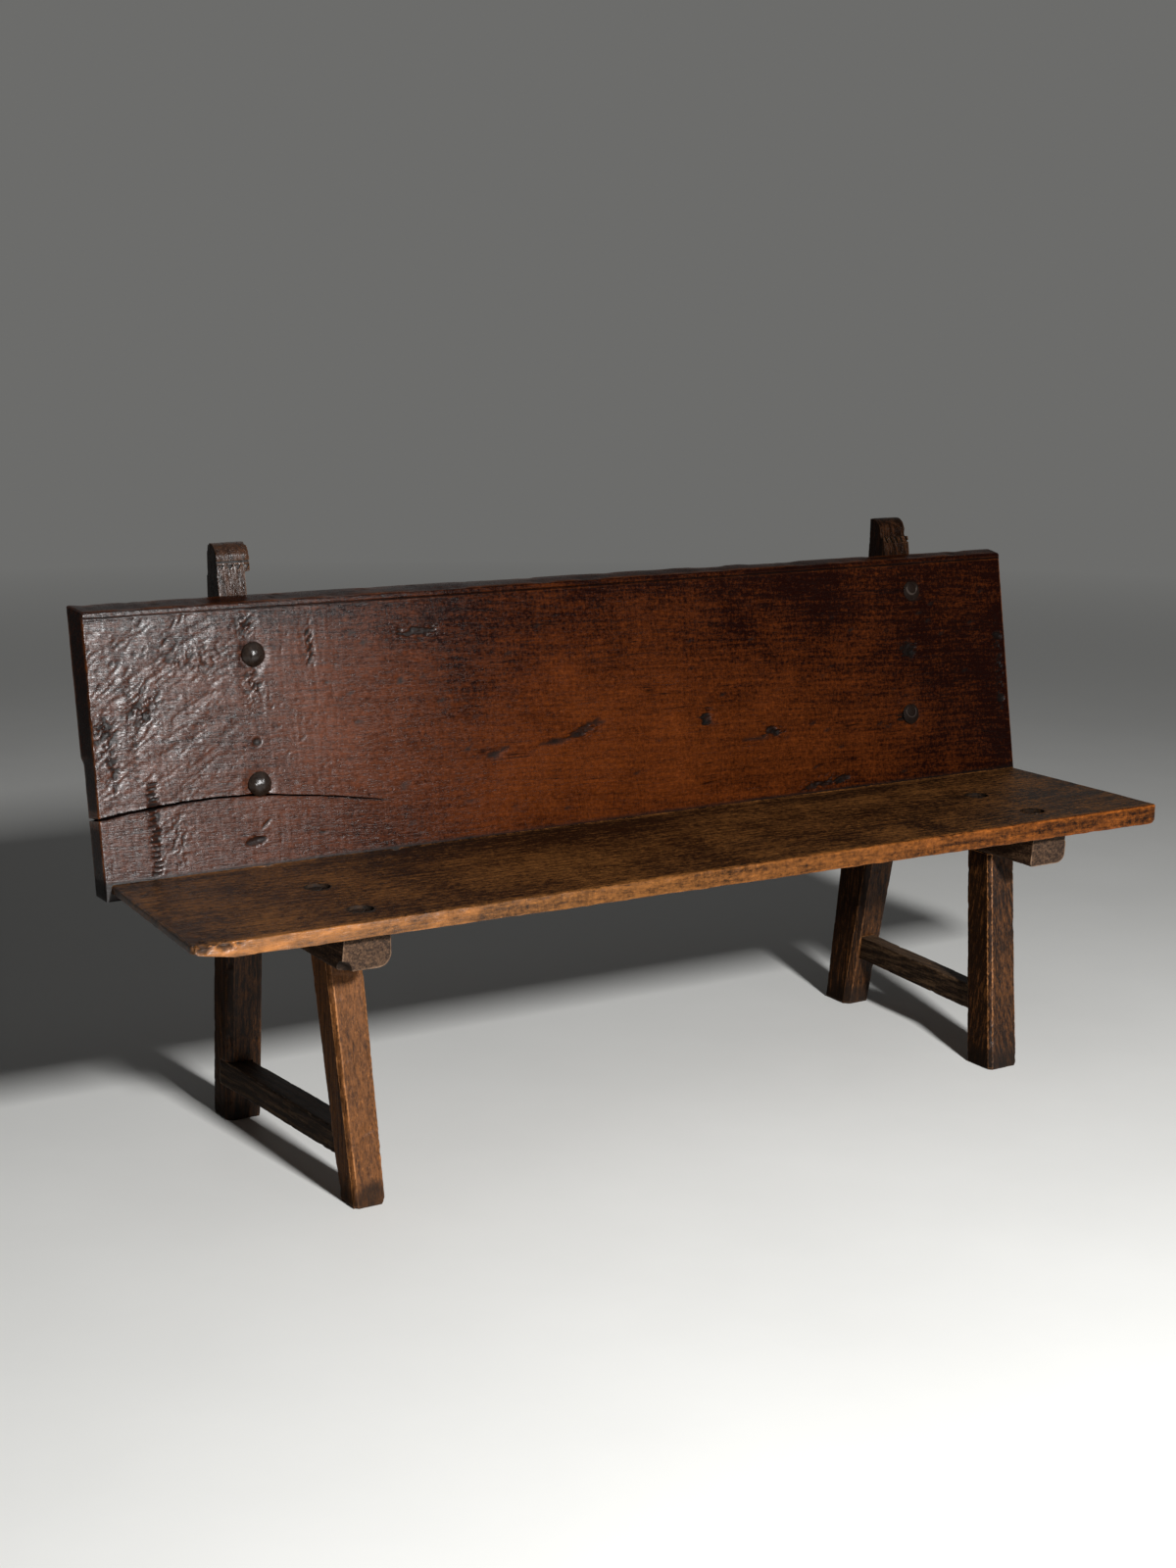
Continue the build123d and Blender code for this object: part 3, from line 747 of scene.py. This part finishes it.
# How each bar looks: (tone of its wood, lower as painted shade for the bars that stand in shade,
# share of bright wear, wear of its arrises)
plain_look = (0.40, 1.0, 0.6)
bar_looks = {
    "left_front_leg": (0.66, 1.0, 2.0),
    "right_front_leg": (0.18, 1.0, 1.2),
    "left_back_leg": (0.16, 0.15, 0.6),
    "right_back_leg": (0.22, 0.40, 0.6),
    "right_batten": (0.22, 1.0, 0.6),
    "left_stretcher": (0.36, 1.0, 0.9),
    "right_stretcher": (0.50, 1.0, 0.9),
    "left_back_post": (0.42, 0.4, 0.6),
    "right_back_post": (0.14, 0.2, 0.6),
}
batten_bite = 0.017
left_nail_widening = 0.10


def fine_mesh(node, kind):
    """A copy of a node's mesh, remeshed finely."""
    source = new_piece("source_" + node, frame["nodes"][node].data.copy())
    low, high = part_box(node)
    remesh = source.modifiers.new("fine", "REMESH")
    if kind == "peg":
        remesh.mode = "VOXEL"
        remesh.voxel_size = cell_sizes[kind]
    else:
        remesh.mode = "SHARP"
        remesh.scale = 0.9
        remesh.octree_depth = math.ceil(math.log2(max(high - low) / remesh.scale / cell_sizes[kind]))
        remesh.use_remove_disconnected = False
    mesh = evaluated_copy(source)
    bpy.data.objects.remove(source)
    mesh.name = "old_" + node
    return mesh


def grain_cells(kind, across, along):
    """Noise cells that are drawn out along the grain of a kind of bar."""
    cells = [across] * 3
    cells[grain_axis[kind]] = along
    return cells


def wear_bar(mesh, node, kind, seed, arris_wear):
    """Wears a bar's arrises and hews its faces along the grain; gives the wear of the arrises."""
    points, normals = read_mesh(mesh)
    edge = np.clip(ridges(mesh, 12), 0, None)
    ragged = step_up(noise(points, 0.030, seed + 1, 2), 0.45, 0.70)
    chips = step_up(noise(points, grain_cells(kind, 0.006, 0.020), seed + 5, 2), 0.45, 0.70)
    worn = edge * (0.20 + (0.2 + 1.2 * ragged) * chips * arris_wear)
    hewn = 0.0008 * (noise(points, grain_cells(kind, 0.010, 0.10), seed + 2, 2) - 0.5)
    hewn = hewn + 0.0016 * (noise(points, grain_cells(kind, 0.05, 0.14), seed + 3, 2) - 0.5)
    dents = 0.0010 * step_up(noise(points, 0.022, seed + 4), 0.64, 0.85)
    if kind in ("wedge", "peg"):
        hewn = hewn * 0.25
        dents = dents * 0.3
    points = points - normals * (worn + hewn + dents)[:, None]
    low, high = np.array(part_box(node))
    points = np.clip(points, low, high)
    if node == "left_batten":
        points = bitten(points, low, batten_bite)
    if kind == "leg":
        sole = (normals[:, 2] < -0.7) & (points[:, 2] < 0.004)
        points[sole, 2] = 0.0
        points[:, 2] = np.maximum(points[:, 2], 0)
    if kind == "peg":
        points = dished(points, seed)
    write_points(mesh, points)
    return worn


def bitten(points, middle, radius):
    """Points pushed out of a ball, which leaves a hollow bite."""
    away = points - middle
    distance = np.maximum(np.linalg.norm(away, axis=1), 1e-6)[:, None]
    return np.where(distance < radius, middle + abs(away) / distance * radius, points)


def dished(points, seed):
    """A peg's end, hollowed and checked by age."""
    top = points[:, 2].max()
    middle = (points.max(axis=0) + points.min(axis=0)) / 2
    away = points - middle
    radius = np.hypot(away[:, 0], away[:, 1])
    turn = np.arctan2(away[:, 1], away[:, 0])
    hollow = 0.0026 + 0.0030 * step_up(-radius, -0.0175, -0.010) + 0.0012 * noise(points, 0.006, seed + 5)
    split = np.clip(1 - abs(np.sin(turn - 0.7)) * radius / 0.0016, 0, 1) * 0.003
    near_top = step_up(points[:, 2], top - 0.006, top - 0.002)
    points[:, 2] -= near_top * (hollow + split)
    return points


def hammer_nail(mesh, node, seed):
    """Flats from the hammer on a nail's head; left heads are wider, right heads have a sunk ring."""
    points, normals = read_mesh(mesh)
    head = (points - board_origin) @ face_out > 0.001
    away = points - centre(node)
    sideways = away - (away @ face_out)[:, None] * face_out
    sunk = 0.0008 * step_up(noise(points, 0.010, seed, 1), 0.35, 0.75)
    if node.startswith("left"):
        points = points + left_nail_widening * sideways * head[:, None]
    else:
        radius = np.linalg.norm(sideways, axis=1)
        sunk = sunk + 0.0016 * np.exp(-(((radius - 0.011) / 0.0018) ** 2))
    write_points(mesh, points - normals * (sunk * head)[:, None])
    return sunk * head


# Materials: a helper that is given a socket works in that socket's tree

def add_node(tree, kind, sockets=None, **settings):
    """A shader node with its settings, and with values or links on its sockets."""
    node = tree.nodes.new(kind)
    for name, value in settings.items():
        setattr(node, name, value)
    for name, value in (sockets or {}).items():
        if isinstance(value, bpy.types.NodeSocket):
            tree.links.new(value, node.inputs[name])
        else:
            node.inputs[name].default_value = value
    return node


def calculated(operation, first, second=0.0, clamp=False):
    """A math node's result."""
    sockets = {0: first, 1: second}
    node = add_node(first.id_data, "ShaderNodeMath", sockets, operation=operation, use_clamp=clamp)
    return node.outputs[0]


def plus(first, second):
    """A sum."""
    return calculated("ADD", first, second)


def times(first, second, clamp=False):
    """A product, kept from 0 to 1 if it is clamped."""
    return calculated("MULTIPLY", first, second, clamp)


def larger(first, second):
    """The larger of two values."""
    return calculated("MAXIMUM", first, second)


def vector_math(operation, first, second):
    """The result of a vector math node."""
    sockets = {0: first, 1: second}
    return add_node(first.id_data, "ShaderNodeVectorMath", sockets, operation=operation).outputs[0]


def squeezed(vector, axis, share):
    """Coordinates squeezed along one axis, which draws textures out along it."""
    scale = [1, 1, 1]
    scale[axis] = share
    return vector_math("MULTIPLY", vector, scale)


def span(value, low, high, to_low=0.0, to_high=1.0):
    """A value taken from one range to another, and kept inside it."""
    sockets = {"Value": value, "From Min": low, "From Max": high, "To Min": to_low, "To Max": to_high}
    return add_node(value.id_data, "ShaderNodeMapRange", sockets).outputs[0]


def mix(factor, first, second, blend="MIX"):
    """Two colours mixed by a factor; each is a socket or three numbers."""
    sockets = {0: factor}
    for number, colour in ((6, first), (7, second)):
        sockets[number] = colour if isinstance(colour, bpy.types.NodeSocket) else (*colour, 1)
    settings = {"data_type": "RGBA", "blend_type": blend}
    return add_node(factor.id_data, "ShaderNodeMix", sockets, **settings).outputs[2]


def cloudy(vector, scale, detail=4, rough=0.6, distortion=0.0):
    """Noise between 0 and 1."""
    sockets = {"Vector": vector, "Scale": scale, "Detail": detail, "Roughness": rough}
    sockets["Distortion"] = distortion
    return add_node(vector.id_data, "ShaderNodeTexNoise", sockets).outputs["Fac"]


def attribute(tree, name):
    """A number painted on the points of the mesh."""
    return add_node(tree, "ShaderNodeAttribute", attribute_name=name).outputs["Fac"]


def new_material(name):
    """A material, its tree, its surface shader and the object's coordinates."""
    material = bpy.data.materials.new(name)
    material.use_nodes = True
    tree = material.node_tree
    place = add_node(tree, "ShaderNodeTexCoord").outputs["Object"]
    return material, tree, tree.nodes["Principled BSDF"], place


def surface(shader, colour, gloss, shine, relief, bump, height):
    """Links a surface's colour, roughness, shine and raised relief to its shader."""
    tree = shader.id_data
    raised = add_node(tree, "ShaderNodeBump", {"Strength": bump, "Distance": height, "Height": relief})
    tree.links.new(colour, shader.inputs["Base Color"])
    tree.links.new(gloss, shader.inputs["Roughness"])
    tree.links.new(shine, shader.inputs["Specular IOR Level"])
    tree.links.new(raised.outputs[0], shader.inputs["Normal"])


def slanting_cuts(place, axis):
    """Tool marks that slant across the front of the board."""
    sockets = {"Vector": place, "Angle": -0.5}
    slant = add_node(place.id_data, "ShaderNodeVectorRotate", sockets, rotation_type="Y_AXIS").outputs[0]
    return cloudy(squeezed(slant, axis, 0.3), 190, 3, 0.6)


def wood(name, axis, dark, light, worn, dirt_and_shade, rough, contrast, bump=0.4, specular=0.22, grain=1.0,
         strokes=0.0):
    """Old waxed wood, its grain along an axis: worn on its arrises, with dirt and painted shade in its
    hollows.

    The contrasts are those of its streaks, bands, blotches, cross figure, flecks and rings; a
    grain below 1 is coarser; strokes is the height of slanting tool marks where it isn't dull.
    It reads what is painted on its mesh: a tone layer lightens or darkens it, which is both the wood's
    own tone and painted light and shade; wear rubs it bright, and on the seat's front arris also
    paints a highlight; a grime layer soils it, which in hollows and cuts is painted shade as well;
    dull takes its shine, and deep makes it more orange.
    """
    material, tree, shader, place = new_material(name)
    glow, wear, grime, dull, deep = [
        attribute(tree, layer) for layer in ("glow", "wear", "grime", "dull", "deep")
    ]

    # Patterns
    drift = add_node(tree, "ShaderNodeTexNoise", {"Vector": place, "Scale": 5, "Detail": 3})
    wavy = vector_math("ADD", place, vector_math("MULTIPLY", drift.outputs["Color"], (0.012,) * 3))
    streaks = cloudy(squeezed(wavy, axis, 0.03), 320 * grain, 4, 0.65)
    bands = cloudy(squeezed(wavy, axis, 0.12), 60 * grain, 6, 0.68, 0.3)
    blotches = cloudy(place, 6, 8, 0.68, 0.4)
    figure = cloudy(squeezed(place, (axis + 2) % 3, 0.3), 300 * grain, 4, 0.7)
    flecks = cloudy(squeezed(place, axis, 0.5), 300 * grain, 4, 0.75)
    rings = {"Vector": squeezed(wavy, axis, 0.10), "Scale": 42, "Distortion": 5, "Detail": 3}
    rings = add_node(tree, "ShaderNodeTexWave", rings, bands_direction="DIAGONAL").outputs["Fac"]
    pores = span(cloudy(squeezed(wavy, axis, 0.06), 800, 2, 0.5), 0.55, 0.68)
    pits = span(cloudy(squeezed(place, axis, 0.7), 150, 3, 0.6), 0.63, 0.70)
    lines = calculated("SUBTRACT", cloudy(squeezed(wavy, axis, 0.03), 55, 3, 0.5), 0.5)
    checks = span(calculated("ABSOLUTE", lines), 0.002, 0.012, 1, 0)
    checks = times(checks, span(cloudy(place, 11, 3), 0.50, 0.62))
    sunk = larger(larger(times(pores, 0.5), checks), times(pits, 0.5))
    patchy = span(cloudy(squeezed(place, axis, 0.4), 60, 6, 0.7), 0.36, 0.62)

    # Colour
    # The tone layer holds the wood's own tone and painted light and shade
    tone = glow
    for texture, strength in zip((streaks, bands, blotches, figure, flecks, rings), contrast):
        tone = plus(tone, span(texture, 0.3, 0.7, -strength, strength))
    colour = mix(span(tone, 0, 1), dark, light)
    glints = times(span(flecks, 0.60, 0.74), glow)
    colour = mix(times(glints, 0.6), colour, worn)
    colour = mix(times(sunk, 0.8), colour, tuple(0.25 * part for part in dark))
    rubbed = times(wear, plus(patchy, 0.15), True)
    colour = mix(rubbed, colour, worn)
    colour = mix(deep, colour, (1, 0.72, 0.38), "MULTIPLY")
    # Grime: dirt, and in hollows and cuts painted shade as well
    soiled_and_shaded = times(grime, span(patchy, 0, 1, 0.7, 1), True)
    colour = mix(soiled_and_shaded, colour, dirt_and_shade)

    # Gloss and relief
    gloss = span(blotches, 0.25, 0.75, rough[0], rough[1])
    gloss = plus(gloss, span(flecks, 0.3, 0.7, -0.06, 0.10))
    gloss = plus(gloss, times(grime, 0.25))
    gloss = calculated("SUBTRACT", gloss, times(wear, 0.14), True)
    shine = plus(span(dull, 0, 1, specular, 0.14 * specular), times(rubbed, 0.25))
    relief = calculated("SUBTRACT", streaks, sunk)
    relief = plus(relief, times(flecks, 1.5 * contrast[4]))
    relief = plus(relief, times(figure, 1.2 * contrast[3]))
    if strokes:
        relief = plus(relief, times(slanting_cuts(place, axis), span(dull, 0, 0.6, strokes, 0)))
    surface(shader, colour, gloss, shine, relief, bump, 0.0012)
    return material


def iron(name):
    """Forged iron, rubbed smooth on top, with brown rust in its hollows; dull iron is darker."""
    material, tree, shader, place = new_material(name)
    dull = attribute(tree, "dull")
    cloud = cloudy(place, 90, 5, 0.65)
    colour = mix(span(cloud, 0.35, 0.65), (0.010, 0.006, 0.0045), (0.022, 0.014, 0.010))
    colour = mix(times(dull, 0.8), colour, (0.006, 0.003, 0.002))
    colour = mix(attribute(tree, "wear"), colour, (0.045, 0.034, 0.028))
    colour = mix(attribute(tree, "grime"), colour, (0.012, 0.006, 0.004))
    gloss = plus(span(cloud, 0.3, 0.7, 0.20, 0.30), times(dull, 0.35))
    shine = span(dull, 0, 1, 0.34, 0.05)
    surface(shader, colour, gloss, shine, cloudy(place, 520, 3, 0.6), 0.35, 0.0008)
    return material


# Looks of the woods; the grain's axis is 0 along the seat, 1 front to back and 2 upright
wood_looks = {
    "board_wood": dict(
        axis=0, dark=(0.006, 0.0008, 0.0002), light=(0.098, 0.021, 0.0026),
        worn=(0.20, 0.055, 0.010), dirt_and_shade=(0.003, 0.002, 0.0015), rough=(0.24, 0.36),
        contrast=(0.12, 0.10, 0.24, 0.22, 0.26, 0.05), bump=0.32, specular=0.50, grain=0.9, strokes=2.4,
    ),
    "seat_wood": dict(
        axis=0, dark=(0.010, 0.0038, 0.0013), light=(0.185, 0.072, 0.017),
        worn=(0.56, 0.205, 0.042), dirt_and_shade=(0.005, 0.003, 0.0015), rough=(0.36, 0.52),
        contrast=(0.24, 0.16, 0.34, 0.22, 0.48, 0.06), specular=0.42, grain=0.65,
    ),
    "leg_wood": dict(
        axis=2, dark=(0.011, 0.0042, 0.0015), light=(0.170, 0.062, 0.016),
        worn=(0.56, 0.225, 0.066), dirt_and_shade=(0.006, 0.0035, 0.002), rough=(0.44, 0.60),
        contrast=(0.36, 0.14, 0.16, 0.06, 0.20, 0.07), bump=0.5,
    ),
    "batten_wood": dict(
        axis=1, dark=(0.020, 0.010, 0.0055), light=(0.125, 0.068, 0.036),
        worn=(0.24, 0.14, 0.08), dirt_and_shade=(0.008, 0.0055, 0.004), rough=(0.56, 0.72),
        contrast=(0.36, 0.16, 0.20, 0.30, 0.40, 0.08), bump=0.6,
    ),
    "stretcher_wood": dict(
        axis=1, dark=(0.012, 0.0062, 0.0034), light=(0.105, 0.060, 0.031),
        worn=(0.26, 0.16, 0.088), dirt_and_shade=(0.007, 0.0045, 0.0035), rough=(0.50, 0.66),
        contrast=(0.38, 0.20, 0.20, 0.10, 0.24, 0.14), bump=0.55,
    ),
    "post_wood": dict(
        axis=2, dark=(0.006, 0.0022, 0.0009), light=(0.070, 0.027, 0.011),
        worn=(0.17, 0.078, 0.034), dirt_and_shade=(0.004, 0.003, 0.002), rough=(0.22, 0.36),
        contrast=(0.34, 0.16, 0.20, 0.02, 0.10, 0.06), bump=0.65, specular=0.34, grain=0.6,
    ),
    # Pegs: very dark, partly as painted shade for the recesses they sit in
    "peg_wood": dict(
        axis=2, dark=(0.004, 0.0018, 0.0008), light=(0.018, 0.0075, 0.0030),
        worn=(0.05, 0.021, 0.008), dirt_and_shade=(0.003, 0.002, 0.0012), rough=(0.45, 0.62),
        contrast=(0.30, 0.20, 0.20, 0.12, 0.20, 0.05),
    ),
}
materials = {slot: wood(slot, **look) for slot, look in wood_looks.items()}
materials["nail_iron"] = iron("nail_iron")


# Painted wear, grime and tone, with painted light and shade among them

sharp_angle = math.radians(38)


def patch(points, middle, spread):
    """A soft patch about a place, given as (x, y, z); a spread of None leaves that axis out."""
    total = np.zeros(len(points))
    for axis in range(3):
        if spread[axis] is not None:
            total = total + ((points[:, axis] - middle[axis]) / spread[axis]) ** 2
    return np.exp(-total)


def board_glow(points, normals):
    """Lighter and warmer low in the middle of the board; darker towards its top and its right and on
    its upper face, as painted shade; darker on its ends, as end grain and painted shade.
    """
    glow = 0.34 + 0.26 * patch(points, (0.05, 0, 0.56), (0.60, None, 0.13))
    glow = glow + 0.16 * patch(points, (-0.38, 0, 0.60), (0.26, None, 0.20))
    # Painted shade: darker towards the top and the right, on the upper face and on the ends
    glow = glow - 0.20 * step_up(points[:, 2], 0.68, 0.84) - 0.38 * step_up(points[:, 0], 0.15, 0.85)
    glow = glow - 0.40 * abs(normals[:, 0]) - 0.40 * step_up(normals[:, 2], 0.5, 0.9)
    return glow + 0.22 * (noise(points, (0.22, 1, 0.12), 81) - 0.5)


def board_edge_share(points):
    """1 on the board's outer edges, less at its top and left, 0 along the split and at the seat."""
    height = (points - board_origin) @ up_slope
    run = points[:, 0] - board_low.x
    split = (abs(height - crack_height(run)) < 0.012) & (run > 0.004) & (run < crack_length + 0.02)
    top = step_up(height, board_rise - 0.016, board_rise - 0.004)
    left = step_up(-run, -0.02, -0.008)
    return np.where(split, 0.0, step_up(height, 0.0, 0.02) * (1 - 0.7 * top) * (1 - 0.5 * left))


def seat_glow(points):
    """Lighter along the seat's front edge as painted light, most at its left and least at its right;
    darker towards the back, then lighter along the last edge; darker in a stain.
    """
    x, y, _ = points.T
    front = step_up(-y, -seat_front - 0.018, -seat_front - 0.002)
    # Painted light along the front edge, falling off towards the right
    glow = 0.27 + front * (0.36 + 0.12 * step_up(-x, 0.3, 0.8) - 0.20 * step_up(x, 0, 0.6))
    glow = glow - 0.24 * patch(points, (-0.05, 0.02, 0), (0.32, 0.07, None))
    glow = glow - 0.18 * step_up(y, face_y - 0.07, face_y - 0.02)
    glow = glow + 0.26 * step_up(y, face_y - 0.014, face_y - 0.008)
    return glow + 0.18 * (noise(points, (0.28, 0.06, 1), 82) - 0.5)


def seat_edge_share(points):
    """1 over the seat, 0 along its back and round the peg holes, whose rims stay dark."""
    share = step_up(face_y - points[:, 1], 0.012, 0.03)
    for node in peg_nodes:
        share = share * (1 - step_up(-from_peg(points, node), -0.030, -0.024))
    return share


def front_rub_and_highlight(points):
    """Wood rubbed bright along the seat's front arris, most of all at its left; it is also a painted
    highlight along that arris.
    """
    front = step_up(-points[:, 1], -seat_front - 0.004, -seat_front - 0.001)
    rubbed = step_up(noise(points, (0.06, 1, 0.012), 84), 0.35, 0.75)
    return front * rubbed * (0.16 + 0.50 * step_up(-points[:, 0], 0.1, 0.8))


def hole_shade(points):
    """Painted shade: 1 on the walls of the peg holes and close round them."""
    dirt_and_shade = np.zeros(len(points))
    for node in peg_nodes:
        low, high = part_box(node)
        dirt_and_shade = dirt_and_shade + step_up((high.x - low.x) / 2 + 0.0035 - from_peg(points, node), 0, 0.002)
    return dirt_and_shade


def foot_dirt(points):
    """Dirt on the lowest part of a leg, with a ragged upper edge."""
    tide = points[:, 2] + 0.05 * (noise(points, 0.025, 83) - 0.5)
    return 0.9 * step_up(-tide, -0.045, -0.010)


def paint(mesh, **layers):
    """Stores numbers from 0 to 1 on each point, for the materials; shades the mesh smooth."""
    for name, values in layers.items():
        layer = mesh.attributes.new(name, "FLOAT", "POINT")
        layer.data.foreach_set("value", np.clip(values, 0, 1))
    mesh.shade_smooth()
    mesh.set_sharp_from_angle(angle=sharp_angle)


# Finished pieces

def place_piece(mesh, node):
    """Puts a finished mesh in the scene in the place of its node."""
    piece = new_piece("old_" + node, mesh)
    mesh.materials.clear()
    mesh.materials.append(materials[slot_of[node]])
    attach(piece, "root")
    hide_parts(node)


def make_board():
    """The back board, glossiest at its adzed left."""
    mesh = board_mesh()
    points, normals = read_mesh(mesh)
    wear = step_up(ridges(mesh, 8), 0.0003, 0.0014) * board_edge_share(points)
    cuts = wear_board(mesh)
    # Dirt and painted shade in the hollows and cuts, and painted shade along the board's foot where it
    # meets the seat
    grime = step_up(-ridges(mesh, 6), 0.00015, 0.0009) + step_up(cuts, 0.0003, 0.0016)
    grime = grime + step_up(seat_top + 0.006 - points[:, 2], 0, 0.005)
    dull = np.maximum(facing(normals, up_slope), facing(normals, to_left))
    dull = np.maximum(dull, step_up(points[:, 0], -0.80, -0.08))
    paint(mesh, wear=wear, grime=grime, glow=board_glow(points, normals), dull=dull)
    place_piece(mesh, "back_board")


def make_seat():
    """The seat plank, duller and deeper in colour to its right."""
    mesh = drill(seat_mesh())
    points, _ = read_mesh(mesh)
    wear = step_up(ridges(mesh, 5), 0.0004, 0.0011) * seat_edge_share(points)
    cuts = wear_seat(mesh)
    wear = np.maximum(wear, 0.4 * step_up(cuts, 0.0015, 0.0035))
    # Along the front arris the wear also holds a painted highlight
    wear = np.maximum(wear, front_rub_and_highlight(points))
    # Dirt and painted shade in the hollows and cuts, and painted shade on the peg holes' walls
    grime = 0.7 * step_up(-ridges(mesh, 6), 0.0003, 0.0012) + step_up(cuts, 0.0012, 0.0030)
    grime = grime + hole_shade(points)
    dull = 0.8 * step_up(points[:, 0], -0.75, -0.15)
    deep = step_up(seat_front + 0.008 - points[:, 1], 0, 0.005) * step_up(points[:, 0], -0.4, 0.85)
    paint(mesh, wear=wear, grime=grime, glow=seat_glow(points), dull=dull, deep=deep)
    place_piece(mesh, "seat_plank")


def make_bar(node, kind, seed):
    """A leg, post, batten, stretcher, wedge, peg or nail, duller on its left side and darker there as
    painted shade.
    """
    on_right = node.startswith("right")
    cell = cell_sizes[kind]
    base_glow, wear_share, arris_wear = bar_looks.get(node, plain_look)
    mesh = fine_mesh(node, kind)
    wear = step_up(ridges(mesh, 8 if kind == "leg" else 4), 0.14 * cell, 0.40 * cell)
    wear = wear * wear_share
    if kind == "nail":
        chips = hammer_nail(mesh, node, seed)
    else:
        chips = wear_bar(mesh, node, kind, seed, arris_wear)
    points, normals = read_mesh(mesh)
    # Dirt and painted shade in the hollows
    grime = step_up(-ridges(mesh, 6), 0.08 * cell, 0.5 * cell)
    if kind == "leg":
        grime = grime + foot_dirt(points)
    # Painted shade in the deeper chips of the left front leg
    if node == "left_front_leg":
        grime = grime + 0.9 * step_up(chips, 0.0014, 0.0030)
    # Left-facing sides: duller, and darker as painted shade
    dull = step_up(-normals[:, 0], 0.5, 0.9)
    glow = base_glow + 0.3 * (noise(points, 0.08, seed + 6) - 0.5) - 0.30 * dull
    if kind == "nail" and on_right:
        wear = step_up(chips, 0.0008, 0.0018)
    if kind == "nail" or (kind == "post" and on_right):
        dull = np.full(len(points), float(on_right))
    paint(mesh, wear=wear, grime=grime, glow=glow, dull=dull)
    place_piece(mesh, node)


make_board()
make_seat()
for number, node in enumerate(sorted(frame["nodes"])):
    kind = node.split("_")[-1]
    if kind in cell_sizes:
        make_bar(node, kind, 100 + 10 * number)


# Floor, light and camera

def floor_material():
    """Pale painted floor with faint clouds, fading into the backdrop."""
    material, tree, shader, place = new_material("floor_paint")
    cloud = cloudy(place, 1.2, 6, 0.6)
    colour = mix(span(cloud, 0.3, 0.7), (0.80, 0.80, 0.775), (0.85, 0.85, 0.825))
    tree.links.new(colour, shader.inputs["Base Color"])
    tree.links.new(span(cloud, 0.3, 0.7, 0.40, 0.55), shader.inputs["Roughness"])
    shader.inputs["Specular IOR Level"].default_value = 0.05
    distance = add_node(tree, "ShaderNodeVectorMath", {0: place}, operation="LENGTH").outputs["Value"]
    plain = add_node(tree, "ShaderNodeEmission", {"Color": (*backdrop_grey, 1)})
    share = span(distance, floor_fade_start, floor_fade_end)
    fading = add_node(tree, "ShaderNodeMixShader", {0: share, 1: shader.outputs[0], 2: plain.outputs[0]})
    tree.links.new(fading.outputs[0], tree.nodes["Material Output"].inputs["Surface"])
    return material


def make_floor():
    """A wide pale floor."""
    corners = np.array([(-1, -1, 0), (1, -1, 0), (1, 1, 0), (-1, 1, 0)]) * floor_half_width
    floor = new_piece("studio_floor", mesh_from("studio_floor", corners, [[0, 1, 2, 3]]))
    floor.data.materials.append(floor_material())


def area_light(name, place, target, size, watts):
    """A soft square light, aimed at a point."""
    light = bpy.data.lights.new(name, "AREA")
    light.shape = "SQUARE"
    light.size = size
    light.energy = watts
    lamp = new_piece(name, light)
    lamp.location = place
    lamp.rotation_euler = (Vector(target) - lamp.location).to_track_quat("-Z", "Y").to_euler()


def make_world():
    """Grey surroundings: a soft fill, and a plain backdrop for the camera and reflections."""
    world = bpy.data.worlds.new("studio")
    bpy.context.scene.world = world
    world.use_nodes = True
    tree = world.node_tree
    seen = add_node(tree, "ShaderNodeLightPath").outputs
    backdrop = larger(larger(seen["Is Camera Ray"], seen["Is Transmission Ray"]), seen["Is Glossy Ray"])
    tree.links.new(mix(backdrop, fill_grey, backdrop_grey), tree.nodes["Background"].inputs["Color"])


def make_camera():
    """The camera at the photograph's place."""
    camera = new_piece("camera", bpy.data.cameras.new("camera"))
    yaw = Matrix.Rotation(-camera_yaw, 4, "Z")
    pitch = Matrix.Rotation(math.pi / 2 - camera_pitch, 4, "X")
    roll = Matrix.Rotation(camera_roll, 4, "Z")
    place = (seat_right - camera_left_of_right_end, seat_front - camera_ahead_of_front, camera_height)
    camera.matrix_world = Matrix.Translation(place) @ yaw @ pitch @ roll
    camera.data.sensor_width = sensor_size
    camera.data.lens = camera_focal / photo_height * sensor_size
    bpy.context.scene.camera = camera


make_floor()
make_world()
make_camera()
for lamp in lamps:
    area_light(*lamp)
bpy.context.scene.view_settings.view_transform = "Standard"
